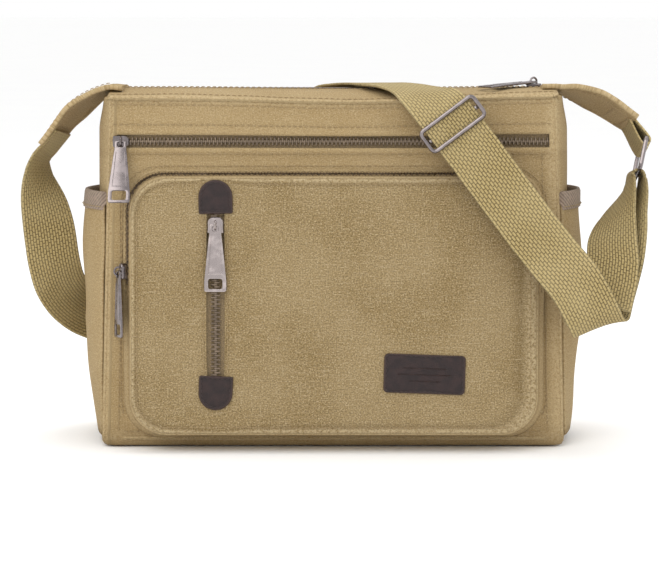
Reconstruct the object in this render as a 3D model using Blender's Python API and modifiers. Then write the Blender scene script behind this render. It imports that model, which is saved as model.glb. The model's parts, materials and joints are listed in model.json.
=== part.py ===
"""Canvas messenger bag with a webbing shoulder strap, built as separate sewn and metal pieces.

Metres, +Z up, the front faces -Y, +X is the wearer's view right of the front. The origin is the middle of the
flat base. Front features are children of an empty that leans back with the front panel, and there X runs along
the panel, Z up it, and -Y out of it.
"""

import math

import bmesh
import bpy
from mathutils import Matrix, Vector

# ---------------------------------------------------------------- driving dimensions
HALF_WIDTH_LOW = 0.1665  # front panel, half its width at the base
HALF_WIDTH_TOP = 0.1600
HALF_DEPTH_LOW = 0.0550  # middle plane to the outer face of the front or back panel
HALF_DEPTH_TOP = 0.0450
PANEL_LOW = 0.006
PANEL_TOP = 0.249
CANVAS = 0.0025  # two layers of canvas and the lining's seam allowance
GAP = 0.0003  # between pieces that touch
LEAN = math.atan2(HALF_DEPTH_LOW - HALF_DEPTH_TOP, PANEL_TOP)

FRONT_ZIP_Z = 0.219
FRONT_WINDOW = (0.2145, 0.2265)  # lower and upper canvas edge beside the front zip

POCKET_CENTRE = (0.0005, 0.1035)
POCKET_FOOT = (0.298, 0.190, 0.026)  # width, height and corner radius on the front panel
POCKET_FACE = (0.286, 0.180, 0.024)
POCKET_DEPTH_LOW = 0.025  # the pocket stands out further at its foot than under the front zip
POCKET_DEPTH_TOP = 0.012
FACE_LEAN = math.atan2(POCKET_DEPTH_LOW - POCKET_DEPTH_TOP, POCKET_FACE[1])
WALL = 0.002
POCKET_CHAIN_SHARE = 0.45  # of the way from the pocket's foot to its face
POCKET_CHAIN_R = 0.0010
POCKET_ZIP_END_Z = 0.118

FACE_ZIP_X = -0.083
FACE_WINDOW = (0.0156, 0.048, 0.174)  # width, lower end, upper end
TAB_SIZE = 0.024
TAB_CENTRES = (0.1806, 0.0420)
LEATHER = 0.0016

TOP_TILT = math.radians(8)
TOP_STRIP_DEPTH = 0.036
MAIN_ZIP_Z = 0.2538

WEBBING_WIDTH = 0.038
WEBBING = 0.0016
LAYER_PITCH = 0.0056  # from the strap's front layer to the return layer behind it
RING_PITCH = 0.0086  # the same at the ring, so that the ring can tilt in the fold
RUN_START = Vector((0.084, -0.068, 0.232))  # the strap adjuster's middle
RUN_DIRECTION = Vector((0.59, -0.19, -0.785)).normalized()
RUN_LENGTH = 0.098
RING_TOP = Vector((0.226, 0.0, 0.213))
RING_LOW = Vector((0.221, 0.0, 0.190))
RING_WIRE = 0.0016
EAR_WIDTH_AXIS = Vector((0.0, 0.944, -0.33)).normalized()

RING_WIDTH = 0.047
PULL_LENGTH = 0.047  # from its pin to its free end
BAIL_WIRE = 0.00075
BAIL_RADIUS = 0.003
SLIDER_TOP = 0.0046
PIN_HEIGHT = SLIDER_TOP + 0.0012
FRONT_PULL_LEAN = math.radians(25)  # lets the front zip's pull pass over the pocket's top edge

COLOURS = {
    "canvas": ((0.36, 0.27, 0.13), 0.9, 0.0),
    "webbing": ((0.38, 0.31, 0.14), 0.85, 0.0),
    "lining": ((0.10, 0.08, 0.06), 0.8, 0.0),
    "binding": ((0.28, 0.22, 0.18), 0.8, 0.0),
    "leather": ((0.05, 0.03, 0.03), 0.55, 0.0),
    "gunmetal": ((0.16, 0.15, 0.16), 0.3, 1.0),
    "zip_metal": ((0.22, 0.19, 0.16), 0.35, 1.0),
}


# ---------------------------------------------------------------- helpers
def clear_scene():
    for obj in list(bpy.data.objects):
        bpy.data.objects.remove(obj)


def material(name):
    found = bpy.data.materials.get(name)
    if found:
        return found
    colour, roughness, metallic = COLOURS[name]
    made = bpy.data.materials.new(name)
    made.use_nodes = True
    shader = made.node_tree.nodes["Principled BSDF"]
    shader.inputs["Base Color"].default_value = (*colour, 1.0)
    shader.inputs["Roughness"].default_value = roughness
    shader.inputs["Metallic"].default_value = metallic
    return made


def add_object(name, data, look, parent=None, matrix=None):
    """Links an object to the bag's collection, under an empty if one is given."""
    obj = bpy.data.objects.new(name, data)
    BAG.objects.link(obj)
    data.materials.append(material(look))
    obj.parent = parent
    if matrix is not None:
        obj.matrix_local = matrix
    return obj


def mesh_object(name, bm, look, parent=None, matrix=None, smooth=True):
    bmesh.ops.recalc_face_normals(bm, faces=bm.faces)
    mesh = bpy.data.meshes.new(name)
    bm.to_mesh(mesh)
    bm.free()
    if smooth:
        mesh.shade_smooth()
        mesh.set_sharp_from_angle(angle=math.radians(40))
    return add_object(name, mesh, look, parent, matrix)


def block(name, size, centre, look, parent=None, turn=None, bevel=0.0):
    """A box of that size, its scale in the mesh, with its long edges rounded by bevel."""
    bm = bmesh.new()
    bmesh.ops.create_cube(bm, size=1.0)
    bmesh.ops.scale(bm, vec=size, verts=bm.verts)
    if turn is not None:
        bmesh.ops.transform(bm, matrix=turn, verts=bm.verts)
    bmesh.ops.translate(bm, vec=centre, verts=bm.verts)
    obj = mesh_object(name, bm, look, parent, smooth=False)
    if bevel:
        modifier = obj.modifiers.new("round", "BEVEL")
        modifier.width = bevel
        modifier.segments = 2
    return obj


def rounded_rectangle(width, height, radius, centre=(0.0, 0.0), steps=5):
    """Corner arcs of a rounded rectangle, counter-clockwise from the lower right."""
    points = []
    for quarter in range(4):
        sx, sy = ((1, -1), (1, 1), (-1, 1), (-1, -1))[quarter]
        cx = centre[0] + sx * (width / 2 - radius)
        cy = centre[1] + sy * (height / 2 - radius)
        for step in range(steps + 1):
            angle = math.radians(90 * (quarter - 1)) + math.radians(90) * step / steps
            points.append((cx + radius * math.cos(angle), cy + radius * math.sin(angle)))
    return points


def slab(name, outlines, thickness, look, parent=None, matrix=None):
    """A flat piece from closed outlines in its own XY plane; outlines after the first are holes."""
    curve = bpy.data.curves.new(name, "CURVE")
    curve.dimensions = "2D"
    curve.fill_mode = "BOTH"
    curve.extrude = thickness / 2
    for outline in outlines:
        spline = curve.splines.new("POLY")
        spline.points.add(len(outline) - 1)
        for point, (x, y) in zip(spline.points, outline):
            point.co = (x, y, 0.0, 1.0)
        spline.use_cyclic_u = True
    return add_object(name, curve, look, parent, matrix)


def upright(y_outer, thickness):
    """Places a slab's XY plane on the panel's XZ plane, with its outer face at that y."""
    return Matrix.Translation((0, y_outer + thickness / 2, 0)) @ Matrix.Rotation(math.pi / 2, 4, "X")


def wire(name, points, radius, look, parent=None, matrix=None, cyclic=False, resolution=2):
    """A round bar along the points, with filled caps."""
    curve = bpy.data.curves.new(name, "CURVE")
    curve.dimensions = "3D"
    curve.bevel_depth = radius
    curve.bevel_resolution = resolution
    curve.use_fill_caps = True
    spline = curve.splines.new("POLY")
    spline.points.add(len(points) - 1)
    for point, place in zip(spline.points, points):
        point.co = (*place, 1.0)
    spline.use_cyclic_u = cyclic
    return add_object(name, curve, look, parent, matrix)


def as_mesh(obj):
    """The object as a mesh with its caps welded, ready for a Boolean."""
    bpy.context.view_layer.update()
    graph = bpy.context.evaluated_depsgraph_get()
    mesh = bpy.data.meshes.new_from_object(obj.evaluated_get(graph))
    bm = bmesh.new()
    bm.from_mesh(mesh)
    bmesh.ops.remove_doubles(bm, verts=bm.verts, dist=1e-6)
    bmesh.ops.recalc_face_normals(bm, faces=bm.faces)
    bm.to_mesh(mesh)
    bm.free()
    name, parent, local = obj.name, obj.parent, obj.matrix_local.copy()
    bpy.data.objects.remove(obj)
    made = bpy.data.objects.new(name, mesh)
    BAG.objects.link(made)
    made.parent = parent
    made.matrix_local = local
    return made


def combine(base, tool, operation):
    """Joins or cuts base with tool, which becomes a hidden cutter."""
    for collection in list(tool.users_collection):
        collection.objects.unlink(tool)
    CUTTERS.objects.link(tool)
    tool.hide_render = True
    tool.display_type = "WIRE"
    modifier = base.modifiers.new(operation.lower(), "BOOLEAN")
    modifier.operation = operation
    modifier.solver = "EXACT"
    modifier.object = tool


def smooth_path(points, step):
    """Catmull-Rom curve through the points, sampled about every step."""
    points = [Vector(p) for p in points]
    ends = [2 * points[0] - points[1], *points, 2 * points[-1] - points[-2]]
    made = []
    for i in range(1, len(ends) - 2):
        before, start, end, after = ends[i - 1 : i + 3]
        count = max(1, round((end - start).length / step))
        for k in range(count):
            t = k / count
            made.append(
                0.5
                * (
                    2 * start
                    + (end - before) * t
                    + (2 * before - 5 * start + 4 * end - after) * t * t
                    + (3 * start - before - 3 * end + after) * t**3
                )
            )
    made.append(points[-1])
    return made


def ribbon(name, stations, thickness, look, step=0.008):
    """A flat band through stations of (middle, width direction, width), lofted from rectangles."""
    rows = smooth_path([s[0] for s in stations], step)
    # The width direction and the width are carried along by each station's share of the path.
    marks = [min(range(len(rows)), key=lambda i, s=s: (rows[i] - Vector(s[0])).length) for s in stations]
    bm = bmesh.new()
    rings = []
    for i, middle in enumerate(rows):
        tangent = (rows[min(i + 1, len(rows) - 1)] - rows[max(i - 1, 0)]).normalized()
        k = max(j for j, mark in enumerate(marks) if mark <= i)
        k = min(k, len(marks) - 2)
        share = (i - marks[k]) / max(1, marks[k + 1] - marks[k])
        across = Vector(stations[k][1]).lerp(Vector(stations[k + 1][1]), share)
        width = stations[k][2] * (1 - share) + stations[k + 1][2] * share
        across = (across - tangent * across.dot(tangent)).normalized()
        normal = tangent.cross(across)
        corners = [(-1, -1), (1, -1), (1, 1), (-1, 1)]
        rings.append(
            [bm.verts.new(middle + across * width / 2 * a + normal * thickness / 2 * b) for a, b in corners]
        )
    for first, second in zip(rings, rings[1:]):
        for k in range(4):
            bm.faces.new((first[k], first[(k + 1) % 4], second[(k + 1) % 4], second[k]))
    bm.faces.new(rings[0][::-1])
    bm.faces.new(rings[-1])
    return mesh_object(name, bm, look)


def panel_half_width(z):
    share = (z - PANEL_LOW) / (PANEL_TOP - PANEL_LOW)
    return HALF_WIDTH_LOW + (HALF_WIDTH_TOP - HALF_WIDTH_LOW) * share


def panel_outline(low, high, corner=0.0):
    """The tapered panel between two heights, with its lower corners cut off round."""
    points = []
    steps = 4 if corner else 0
    for side in (-1, 1):
        arc = []
        for step in range(steps + 1):
            angle = math.radians(90) * (step / steps if steps else 0)
            x = panel_half_width(low) - corner + corner * math.sin(angle)
            arc.append((side * x, low + corner - corner * math.cos(angle)))
        points += arc[::-1] if side < 0 else arc
    points.append((panel_half_width(high), high))
    points.append((-panel_half_width(high), high))
    return points


# ---------------------------------------------------------------- sewn body
def canvas_panels():
    lower = panel_outline(PANEL_LOW, FRONT_WINDOW[0], 0.012)
    slab("front_panel", [lower], CANVAS, "canvas", FRONT, upright(0, CANVAS))
    yoke = panel_outline(FRONT_WINDOW[1], PANEL_TOP)
    slab("front_yoke", [yoke], CANVAS, "canvas", FRONT, upright(0, CANVAS))
    whole = panel_outline(PANEL_LOW, PANEL_TOP, 0.012)
    slab("back_panel", [whole], CANVAS, "canvas", BACK, upright(0, CANVAS))
    base = rounded_rectangle(2 * HALF_WIDTH_LOW - 0.004, 2 * HALF_DEPTH_LOW - 0.004, 0.012)
    slab("base_panel", [base], 0.003, "canvas", None, Matrix.Translation((0, 0, 0.0015)))


def side_shell(name, side, bulge_of, low, high, outset, thickness, look, share_y=1.0, rows=6, columns=8):
    """A sheet across the bag's side that bulges outwards, given thickness inwards by Solidify."""
    bm = bmesh.new()
    bmesh.ops.create_grid(bm, x_segments=columns, y_segments=rows, size=0.5)
    for vert in bm.verts:
        across, up = vert.co.x * 2, vert.co.y + 0.5
        z = low + (high - low) * up
        depth = (HALF_DEPTH_LOW - CANVAS - 2 * GAP) + (HALF_DEPTH_TOP - HALF_DEPTH_LOW) * z / PANEL_TOP
        x = panel_half_width(z) - 0.002 + outset + bulge_of(up) * (1 - (across * share_y) ** 2)
        vert.co = (side * x, across * depth * share_y, z)
    obj = mesh_object(name, bm, look)
    if (obj.data.polygons[0].normal.x > 0) != (side > 0):
        obj.data.flip_normals()
    solid = obj.modifiers.new("thickness", "SOLIDIFY")
    solid.thickness = thickness
    solid.offset = -1
    return obj


def gusset_bulge(up):
    return 0.0060 + 0.0055 * up


def pocket_bulge(up):
    return 0.0075 + 0.0115 * min(1.0, up * 2.2)


def mouth_bulge(up):
    return 0.0190


def sides():
    for label, side in (("left", -1), ("right", 1)):
        side_shell(f"{label}_gusset", side, gusset_bulge, PANEL_LOW, 0.246, 0, CANVAS, "canvas")
        side_shell(f"{label}_side_pocket", side, pocket_bulge, 0.009, 0.182, 0.0019, 0.0014, "canvas", 0.96)
        side_shell(f"{label}_pocket_binding", side, mouth_bulge, 0.1705, 0.1815, 0.0034, 0.0011, "binding", 0.96, 2)


def top_strips():
    rise = math.sin(TOP_TILT) * TOP_STRIP_DEPTH / 2
    for name, side in (("top_front_strip", -1), ("top_back_strip", 1)):
        turn = Matrix.Rotation(-side * TOP_TILT, 4, "X")
        centre = (0, side * 0.0265, PANEL_TOP + 0.0018 + rise)
        block(name, (0.312, TOP_STRIP_DEPTH, 0.0024), centre, "canvas", None, turn)


def lining_pieces():
    """An open-topped box of lining inside the canvas, and the flat pouches behind the zips."""
    bm = bmesh.new()
    bmesh.ops.create_cube(bm, size=2.0)
    top = [face for face in bm.faces if face.normal.z > 0.5]
    bmesh.ops.delete(bm, geom=top, context="FACES_ONLY")
    for vert in bm.verts:
        high = vert.co.z > 0
        vert.co = (
            vert.co.x * (0.156 if high else 0.162),
            vert.co.y * (0.0355 if high else 0.0455),
            0.244 if high else 0.0045,
        )
    obj = mesh_object("lining", bm, "lining", smooth=False)
    solid = obj.modifiers.new("thickness", "SOLIDIFY")
    solid.thickness = 0.0008
    solid.offset = -1
    pouch = rounded_rectangle(0.290, 0.160, 0.02, (0, 0.110))
    slab("front_zip_pouch", [pouch], 0.0016, "lining", FRONT, upright(CANVAS + 0.0016, 0.0016))
    pouch = rounded_rectangle(0.110, 0.150, 0.015, (FACE_ZIP_X + 0.005, 0.106))
    slab("face_zip_pouch", [pouch], 0.0014, "lining", FACE, upright(CANVAS + 0.0016, 0.0014))


# ---------------------------------------------------------------- front pocket
def on_face(point):
    """A point in the pocket face's own frame, in the front panel's."""
    return FACE.matrix_local @ Vector(point)


def pocket_loop(share, outset=0.0):
    """The pocket wall's outline part of the way from its foot to its face, moved outwards."""
    width, height, radius = POCKET_FOOT
    foot = rounded_rectangle(width + 2 * outset, height + 2 * outset, radius + outset, POCKET_CENTRE)
    width, height, radius = POCKET_FACE
    head = rounded_rectangle(width + 2 * outset, height + 2 * outset, radius + outset, POCKET_CENTRE)
    loop = []
    for low, high in zip(foot, head):
        low = Vector((low[0], -GAP, low[1]))
        high = on_face((high[0], CANVAS + GAP, high[1]))
        loop.append(low.lerp(high, share))
    return loop


def pocket():
    bm = bmesh.new()
    loops = [pocket_loop(0), pocket_loop(1), pocket_loop(1, -WALL), pocket_loop(0, -WALL)]
    rings = [[bm.verts.new(p) for p in loop] for loop in loops]
    count = len(rings[0])
    for first, second in zip(rings, rings[1:] + rings[:1]):
        for i in range(count):
            j = (i + 1) % count
            bm.faces.new((first[i], first[j], second[j], second[i]))
    mesh_object("pocket_wall", bm, "canvas", FRONT)

    width, low, high = FACE_WINDOW
    window = rounded_rectangle(width, high - low, 0.0015, (FACE_ZIP_X, (low + high) / 2), 1)
    face = rounded_rectangle(*POCKET_FACE, POCKET_CENTRE)
    slab("pocket_face", [face, window], CANVAS, "canvas", FACE, upright(0, CANVAS))

    piping_r = 0.0018
    width, height, radius = (size + 2 * (piping_r + GAP) for size in POCKET_FACE)
    around = rounded_rectangle(width, height, radius - piping_r - GAP, POCKET_CENTRE)
    around = [Vector((x, CANVAS / 2, z)) for x, z in around]
    wire("pocket_piping", part_of(around, POCKET_ZIP_END_Z - 0.012, -1), piping_r, "canvas", FACE)
    wire("pocket_zip_chain", pocket_chain_path(), POCKET_CHAIN_R, "zip_metal", FRONT)


def pocket_chain_path():
    return part_of(pocket_loop(POCKET_CHAIN_SHARE, POCKET_CHAIN_R + 4 * GAP), POCKET_ZIP_END_Z, 1)


def part_of(loop, height, side):
    """The loop's points above (1) or below (-1) a height, with both crossings, from the left side to the right."""
    kept = [p for p in loop if (p.z - height) * side > 0]
    for start, end in zip(loop, loop[1:] + loop[:1]):
        if (start.z - height) * (end.z - height) < 0:
            kept.append(start.lerp(end, (height - start.z) / (end.z - start.z)))
    return sorted(kept, key=lambda p: math.atan2(p.x, side * (p.z - 0.1)))


def leather_pieces():
    radius = TAB_SIZE / 2
    outer = -GAP - LEATHER
    for name, z, point_up in (("upper_zip_tab", TAB_CENTRES[0], 1), ("lower_zip_tab", TAB_CENTRES[1], -1)):
        arc = [
            (FACE_ZIP_X + radius * math.cos(a), z + point_up * radius * math.sin(a))
            for a in (math.pi * k / 12 for k in range(13))
        ]
        ends = [(FACE_ZIP_X + side * radius, z - point_up * radius) for side in (-1, 1)]
        slab(name, [arc + ends], LEATHER, "leather", FACE, upright(outer, LEATHER))
    label = rounded_rectangle(0.0575, 0.0276, 0.003)
    place = Matrix.Translation((0.0645, outer + LEATHER / 2, 0.0555))
    tilt = Matrix.Rotation(math.radians(2), 4, "Y")
    slab("label", [label], LEATHER, "leather", FACE, place @ tilt @ Matrix.Rotation(math.pi / 2, 4, "X"))


# ---------------------------------------------------------------- zips
def frame_of(origin, travel, outward):
    """A zip's own frame: X along its travel, Z out of the cloth."""
    x, z = Vector(travel).normalized(), Vector(outward).normalized()
    y = z.cross(x)
    return Matrix.Translation(origin) @ Matrix((x, y, z)).transposed().to_4x4()


def zip_strip(prefix, frame, parent, start, end, chain_width, tape_width, inset=0.0):
    """Two tapes and the closed chain of a straight zip. The chain's underside is the frame's XY plane."""
    middle, length = (start + end) / 2, end - start
    for label, side in (("a", 1), ("b", -1)):
        width = tape_width / 2 - GAP / 2
        centre = (middle, side * (GAP / 2 + width / 2), -GAP - 0.00035)
        tape = block(f"{prefix}_tape_{label}", (length, width, 0.0007), centre, "canvas", parent)
        tape.matrix_local = frame
    size = (length - 2 * inset, chain_width, 0.0018)
    chain = block(f"{prefix}_chain", size, (middle, 0, 0.0009), "zip_metal", parent)
    chain.matrix_local = frame


def slider(prefix, frame, parent, chain_width, width, towards):
    """A slider that straddles the chain, with a round bail turned towards its pull."""
    top, roof, clearance = SLIDER_TOP, 0.0022, 0.0004
    body = block(f"{prefix}_slider", (0.0115, width, top - 0.0001), (0, 0, (top + 0.0001) / 2), "gunmetal", parent)
    size = (0.02, chain_width + 2 * clearance, 2 * roof)
    channel = block(f"{prefix}_channel", size, (0, 0, 0), "gunmetal", parent)
    along = Vector((towards[0], towards[1], 0)).normalized()
    arch = [along * BAIL_RADIUS + Vector((0, 0, top - 0.001))]
    for step in range(9):
        angle = math.pi * step / 8
        arch.append(along * BAIL_RADIUS * math.cos(angle) + Vector((0, 0, PIN_HEIGHT + BAIL_RADIUS * math.sin(angle))))
    arch.append(-along * BAIL_RADIUS + Vector((0, 0, top - 0.001)))
    bail = as_mesh(wire(f"{prefix}_bail", arch, BAIL_WIRE, "gunmetal", parent, resolution=1))
    for obj in (body, channel, bail):
        obj.matrix_local = frame
    combine(body, channel, "DIFFERENCE")
    combine(body, bail, "UNION")


def pull(prefix, frame, parent, towards, lean=0.0):
    """A tapered pull whose pin lies under the bail, with a slot at its free end; lean lifts it off the cloth."""
    pin, neck_half, low_half, thickness = 0.00065, 0.0042, 0.0078, 0.0013
    half = [
        (neck_half - 0.001, pin),
        (neck_half, pin - 0.001),
        (neck_half, -0.010),
        (low_half, -PULL_LENGTH + 0.008),
        (low_half, -PULL_LENGTH + 0.0025),
        (low_half - 0.0022, -PULL_LENGTH),
    ]
    outline = half + [(-x, y) for x, y in reversed(half)]
    eye = rounded_rectangle(0.0044, BAIL_RADIUS + BAIL_WIRE + 0.0006 - pin, 0.001, (0, -0.0025), 2)
    slot = rounded_rectangle(0.0100, 0.0072, 0.0015, (0, -PULL_LENGTH + 0.0056), 2)
    down = Vector((towards[0], towards[1], 0)).normalized()
    out = Vector((0, 0, 1))
    axes = Matrix(((-down).cross(out), -down, out)).transposed().to_4x4()
    place = frame @ Matrix.Translation((0, 0, PIN_HEIGHT)) @ axes @ Matrix.Rotation(-lean, 4, "X")
    slab(f"{prefix}_pull", [outline, eye, slot], thickness, "gunmetal", parent, place)


def slider_and_pull(prefix, frame, parent, chain_width, width, towards, lean=0.0):
    slider(prefix, frame, parent, chain_width, width, towards)
    pull(prefix, frame, parent, towards, lean)


def zips():
    main = frame_of((0, 0, MAIN_ZIP_Z), (1, 0, 0), (0, 0, 1))
    zip_strip("main_zip", main, None, -0.154, 0.154, 0.005, 0.025)
    slider_and_pull("main_zip", main @ Matrix.Translation((0.146, 0, 0)), None, 0.005, 0.0084, (-0.80, -0.60), -0.06)

    front = frame_of((0, CANVAS, FRONT_ZIP_Z), (1, 0, 0), (0, -1, 0))
    zip_strip("front_zip", front, FRONT, -0.1568, 0.1568, 0.005, 0.030)
    start = front @ Matrix.Translation((-0.1505, 0, 0))
    slider_and_pull("front_zip", start, FRONT, 0.005, 0.0084, (0, -1), FRONT_PULL_LEAN)

    face = frame_of((FACE_ZIP_X, CANVAS, 0), (0, 0, 1), (0, -1, 0))
    zip_strip("face_zip", face, FACE, FACE_WINDOW[1] - 0.002, FACE_WINDOW[2] + 0.002, 0.006, 0.026, 0.0023)
    slider_and_pull("face_zip", face @ Matrix.Translation((0.1605, 0, 0)), FACE, 0.006, 0.0115, (-1, 0))

    path = pocket_chain_path()
    low, high = path[0], path[1]
    travel = (high - low).normalized()
    foot, head = (part_of(pocket_loop(share), POCKET_ZIP_END_Z + 0.009, 1)[0] for share in (0, 1))
    outward = travel.cross(head - foot).normalized()
    if outward.x > 0:
        outward = -outward
    rest = low + travel * 0.009 - outward * POCKET_CHAIN_R
    pocket_at = frame_of(rest, travel, outward)
    slider_and_pull("pocket_zip", pocket_at, FRONT, 0.0028, 0.0076, (-1, 0))


# ---------------------------------------------------------------- strap and its hardware
def ears():
    """The canvas wings that the strap hangs from, tapering out of the bag's top corners."""
    across = EAR_WIDTH_AXIS
    right = [
        ((0.1615, 0, 0.2545), (0, 1, -0.05), 0.060),
        ((0.190, 0, 0.2465), across, 0.050),
        ((0.2165, 0, 0.2295), across, 0.040),
    ]
    left = [
        ((-0.1630, 0, 0.2545), (0, 1, -0.05), 0.060),
        ((-0.188, 0, 0.2380), across, 0.050),
        ((-0.2085, 0, 0.2130), across, 0.042),
    ]
    ribbon("right_ear", right, 0.0040, "canvas", 0.006)
    ribbon("left_ear", left, 0.0040, "canvas", 0.006)


def ring_and_loop():
    """The canvas loop sewn in the right ear's end and the rectangular ring that hangs in it."""
    across = EAR_WIDTH_AXIS
    outward = Vector((1, 0, 0))
    up = across.cross(outward).normalized()
    if up.z < 0:
        up = -up
    place = Matrix.Translation(RING_TOP) @ Matrix((outward, up, across)).transposed().to_4x4()
    outer, inner = 0.0044, 0.0026
    start, end = math.radians(-60), math.radians(190)
    arc = [start + (end - start) * k / 12 for k in range(13)]
    keyhole = [(outer * math.cos(a + math.radians(-150)), outer * math.sin(a + math.radians(-150))) for a in arc]
    tail = Vector((0.2165, 0, 0.2295)) - RING_TOP
    tail = Vector((tail.dot(outward), tail.dot(up)))
    tail = tail * (1 - 0.0034 / tail.length)
    side = Vector((-tail.y, tail.x)).normalized() * 0.0022
    keyhole += [tuple(tail + side), tuple(tail - side)]
    hole = [(inner * math.cos(a), inner * math.sin(a)) for a in (math.tau * k / 12 for k in range(12))]
    slab("ring_loop", [hull_order(keyhole), hole], 0.036, "canvas", None, place)

    down, lower_bar = ring_hang()
    ring = Matrix.Translation((RING_TOP + lower_bar) / 2)
    ring @= Matrix((across, down, across.cross(down))).transposed().to_4x4()
    drop = (lower_bar - RING_TOP).length
    path = [Vector((x, y, 0)) for x, y in rounded_rectangle(RING_WIDTH, drop, 0.003, steps=3)]
    wire("strap_ring", path, RING_WIRE, "gunmetal", None, ring, cyclic=True)


def ring_hang():
    """The way the ring hangs from its upper bar, square to the ear, and its lower bar's middle."""
    down = RING_LOW - RING_TOP
    drop = down.length
    down = (down - EAR_WIDTH_AXIS * down.dot(EAR_WIDTH_AXIS)).normalized()
    return down, RING_TOP + down * drop


def hull_order(points):
    """The points in order round their convex outline."""
    middle = Vector((sum(p[0] for p in points), sum(p[1] for p in points))) / len(points)
    return sorted(points, key=lambda p: math.atan2(p[1] - middle.y, p[0] - middle.x))


def run_frame():
    """(direction, across, normal) of the strap's straight front run; the normal points away from the bag."""
    across = Vector((0.8, 0, 0.6))
    across = (across - RUN_DIRECTION * across.dot(RUN_DIRECTION)).normalized()
    normal = RUN_DIRECTION.cross(across).normalized()
    return RUN_DIRECTION, across, normal if normal.y < 0 else -normal


def on_run(distance, lift=0.0):
    direction, _, normal = run_frame()
    return RUN_START + direction * distance + normal * lift


def adjuster():
    """The three-bar slide: two bars over the front layer and a middle bar behind it."""
    direction, across, normal = run_frame()
    place = Matrix.Translation(RUN_START)
    place @= Matrix((across, direction, across.cross(direction))).transposed().to_4x4()
    lift = 0.0027 if across.cross(direction).dot(normal) > 0 else -0.0027
    outline = rounded_rectangle(0.0450, 0.0170, 0.003, steps=3)
    frame = wire("strap_adjuster", [Vector((x, y, lift)) for x, y in outline], 0.0015, "gunmetal", None, place, True)
    frame = as_mesh(frame)
    half = 0.0225
    bar = [(-half, 0, lift), (-half + 0.0003, 0, 0), (-half + 0.0015, 0, -lift), (half - 0.0015, 0, -lift)]
    bar += [(half - 0.0003, 0, 0), (half, 0, lift)]
    middle = as_mesh(wire("adjuster_bar", [Vector(p) for p in bar], 0.0014, "gunmetal", None, place))
    combine(frame, middle, "UNION")


def centre_line():
    """(middle, width direction) from the left ear, round behind the bag, over it and down to the ring."""
    _, across, _ = run_frame()
    ring_across = EAR_WIDTH_AXIS
    down, lower_bar = ring_hang()
    outside = down.cross(EAR_WIDTH_AXIS).normalized()
    beside = lower_bar + (outside if outside.x > 0 else -outside) * RING_PITCH / 2
    return [
        ((-0.2098, 0, 0.2112), EAR_WIDTH_AXIS),
        ((-0.2130, -0.001, 0.2045), (0.1, 0.95, -0.3)),
        ((-0.2150, -0.002, 0.1920), (0.45, 0.85, -0.2)),
        ((-0.2115, -0.004, 0.172), (0.79, 0.6, 0)),
        ((-0.2075, -0.002, 0.150), (0.96, 0.28, 0)),
        ((-0.2055, 0.004, 0.128), (0.98, 0.15, 0.1)),
        ((-0.2010, 0.018, 0.106), (0.88, 0.2, 0.35)),
        ((-0.1900, 0.042, 0.088), (0.55, 0.3, 0.75)),
        ((-0.1700, 0.0650, 0.0760), (0.3, 0.1, 1)),
        ((-0.1400, 0.0720, 0.0680), (0.05, 0, 1)),
        ((-0.1000, 0.0710, 0.0720), (-0.3, 0, 1)),
        ((-0.0600, 0.0700, 0.1000), (-0.7, 0, 0.7)),
        ((-0.0330, 0.0680, 0.1500), (-0.88, 0, 0.45)),
        ((-0.0120, 0.0660, 0.2100), (-0.94, 0, 0.35)),
        ((-0.0020, 0.0590, 0.2430), (-0.93, -0.2, 0.3)),
        ((0.0100, 0.0430, 0.2616), (-0.88, -0.45, 0.05)),
        ((0.0360, 0.0000, 0.2674), (-0.85, -0.53, 0)),
        ((0.0570, -0.0330, 0.2657), (-0.85, -0.53, -0.05)),
        ((0.0670, -0.0530, 0.2578), (-0.82, -0.35, -0.3)),
        (on_run(-0.0220), -across),
        (on_run(-0.0110), -across),
        (on_run(0), -across),
        (on_run(RUN_LENGTH / 2), -across),
        (on_run(RUN_LENGTH - 0.012), -across),
        (on_run(RUN_LENGTH), -across),
        ((0.1680, -0.0965, 0.1230), (-0.85, 0, -0.5)),
        ((0.1780, -0.0975, 0.1060), (-0.88, -0.05, -0.45)),
        ((0.1830, -0.0930, 0.0960), (-0.93, -0.1, -0.38)),
        ((0.1865, -0.0810, 0.0910), (-0.94, -0.1, -0.34)),
        ((0.1905, -0.0690, 0.0960), (-0.94, -0.1, -0.30)),
        ((0.1945, -0.0610, 0.1090), (-0.95, -0.05, -0.2)),
        ((0.2020, -0.0480, 0.1300), (-0.95, 0.1, -0.05)),
        ((0.2140, -0.0260, 0.1620), (-0.6, 0.75, -0.35)),
        (beside + down * 0.007, ring_across),
        (beside, ring_across),
    ]


def carried(stations, step):
    """(middle, tangent, across, normal) along the smooth path through the stations."""
    rows = smooth_path([s[0] for s in stations], step)
    marks = [min(range(len(rows)), key=lambda i, s=s: (rows[i] - Vector(s[0])).length) for s in stations]
    frames = []
    for i, middle in enumerate(rows):
        tangent = (rows[min(i + 1, len(rows) - 1)] - rows[max(i - 1, 0)]).normalized()
        k = min(max(j for j, mark in enumerate(marks) if mark <= i), len(marks) - 2)
        share = (i - marks[k]) / max(1, marks[k + 1] - marks[k])
        across = Vector(stations[k][1]).normalized().lerp(Vector(stations[k + 1][1]).normalized(), share)
        across = (across - tangent * across.dot(tangent)).normalized()
        frames.append((middle, tangent, across, tangent.cross(across)))
    return frames


def wrap(bm, rings):
    """The skin of a flat band. Both broad faces fold along the same diagonals, so a twist keeps its thickness."""
    for first, second in zip(rings, rings[1:]):
        bm.faces.new((first[0], first[1], second[1]))
        bm.faces.new((first[0], second[1], second[0]))
        bm.faces.new((first[1], first[2], second[2], second[1]))
        bm.faces.new((first[2], first[3], second[2]))
        bm.faces.new((first[3], second[3], second[2]))
        bm.faces.new((first[3], first[0], second[0], second[3]))
    bm.faces.new(rings[0][::-1])
    bm.faces.new(rings[-1])


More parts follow.
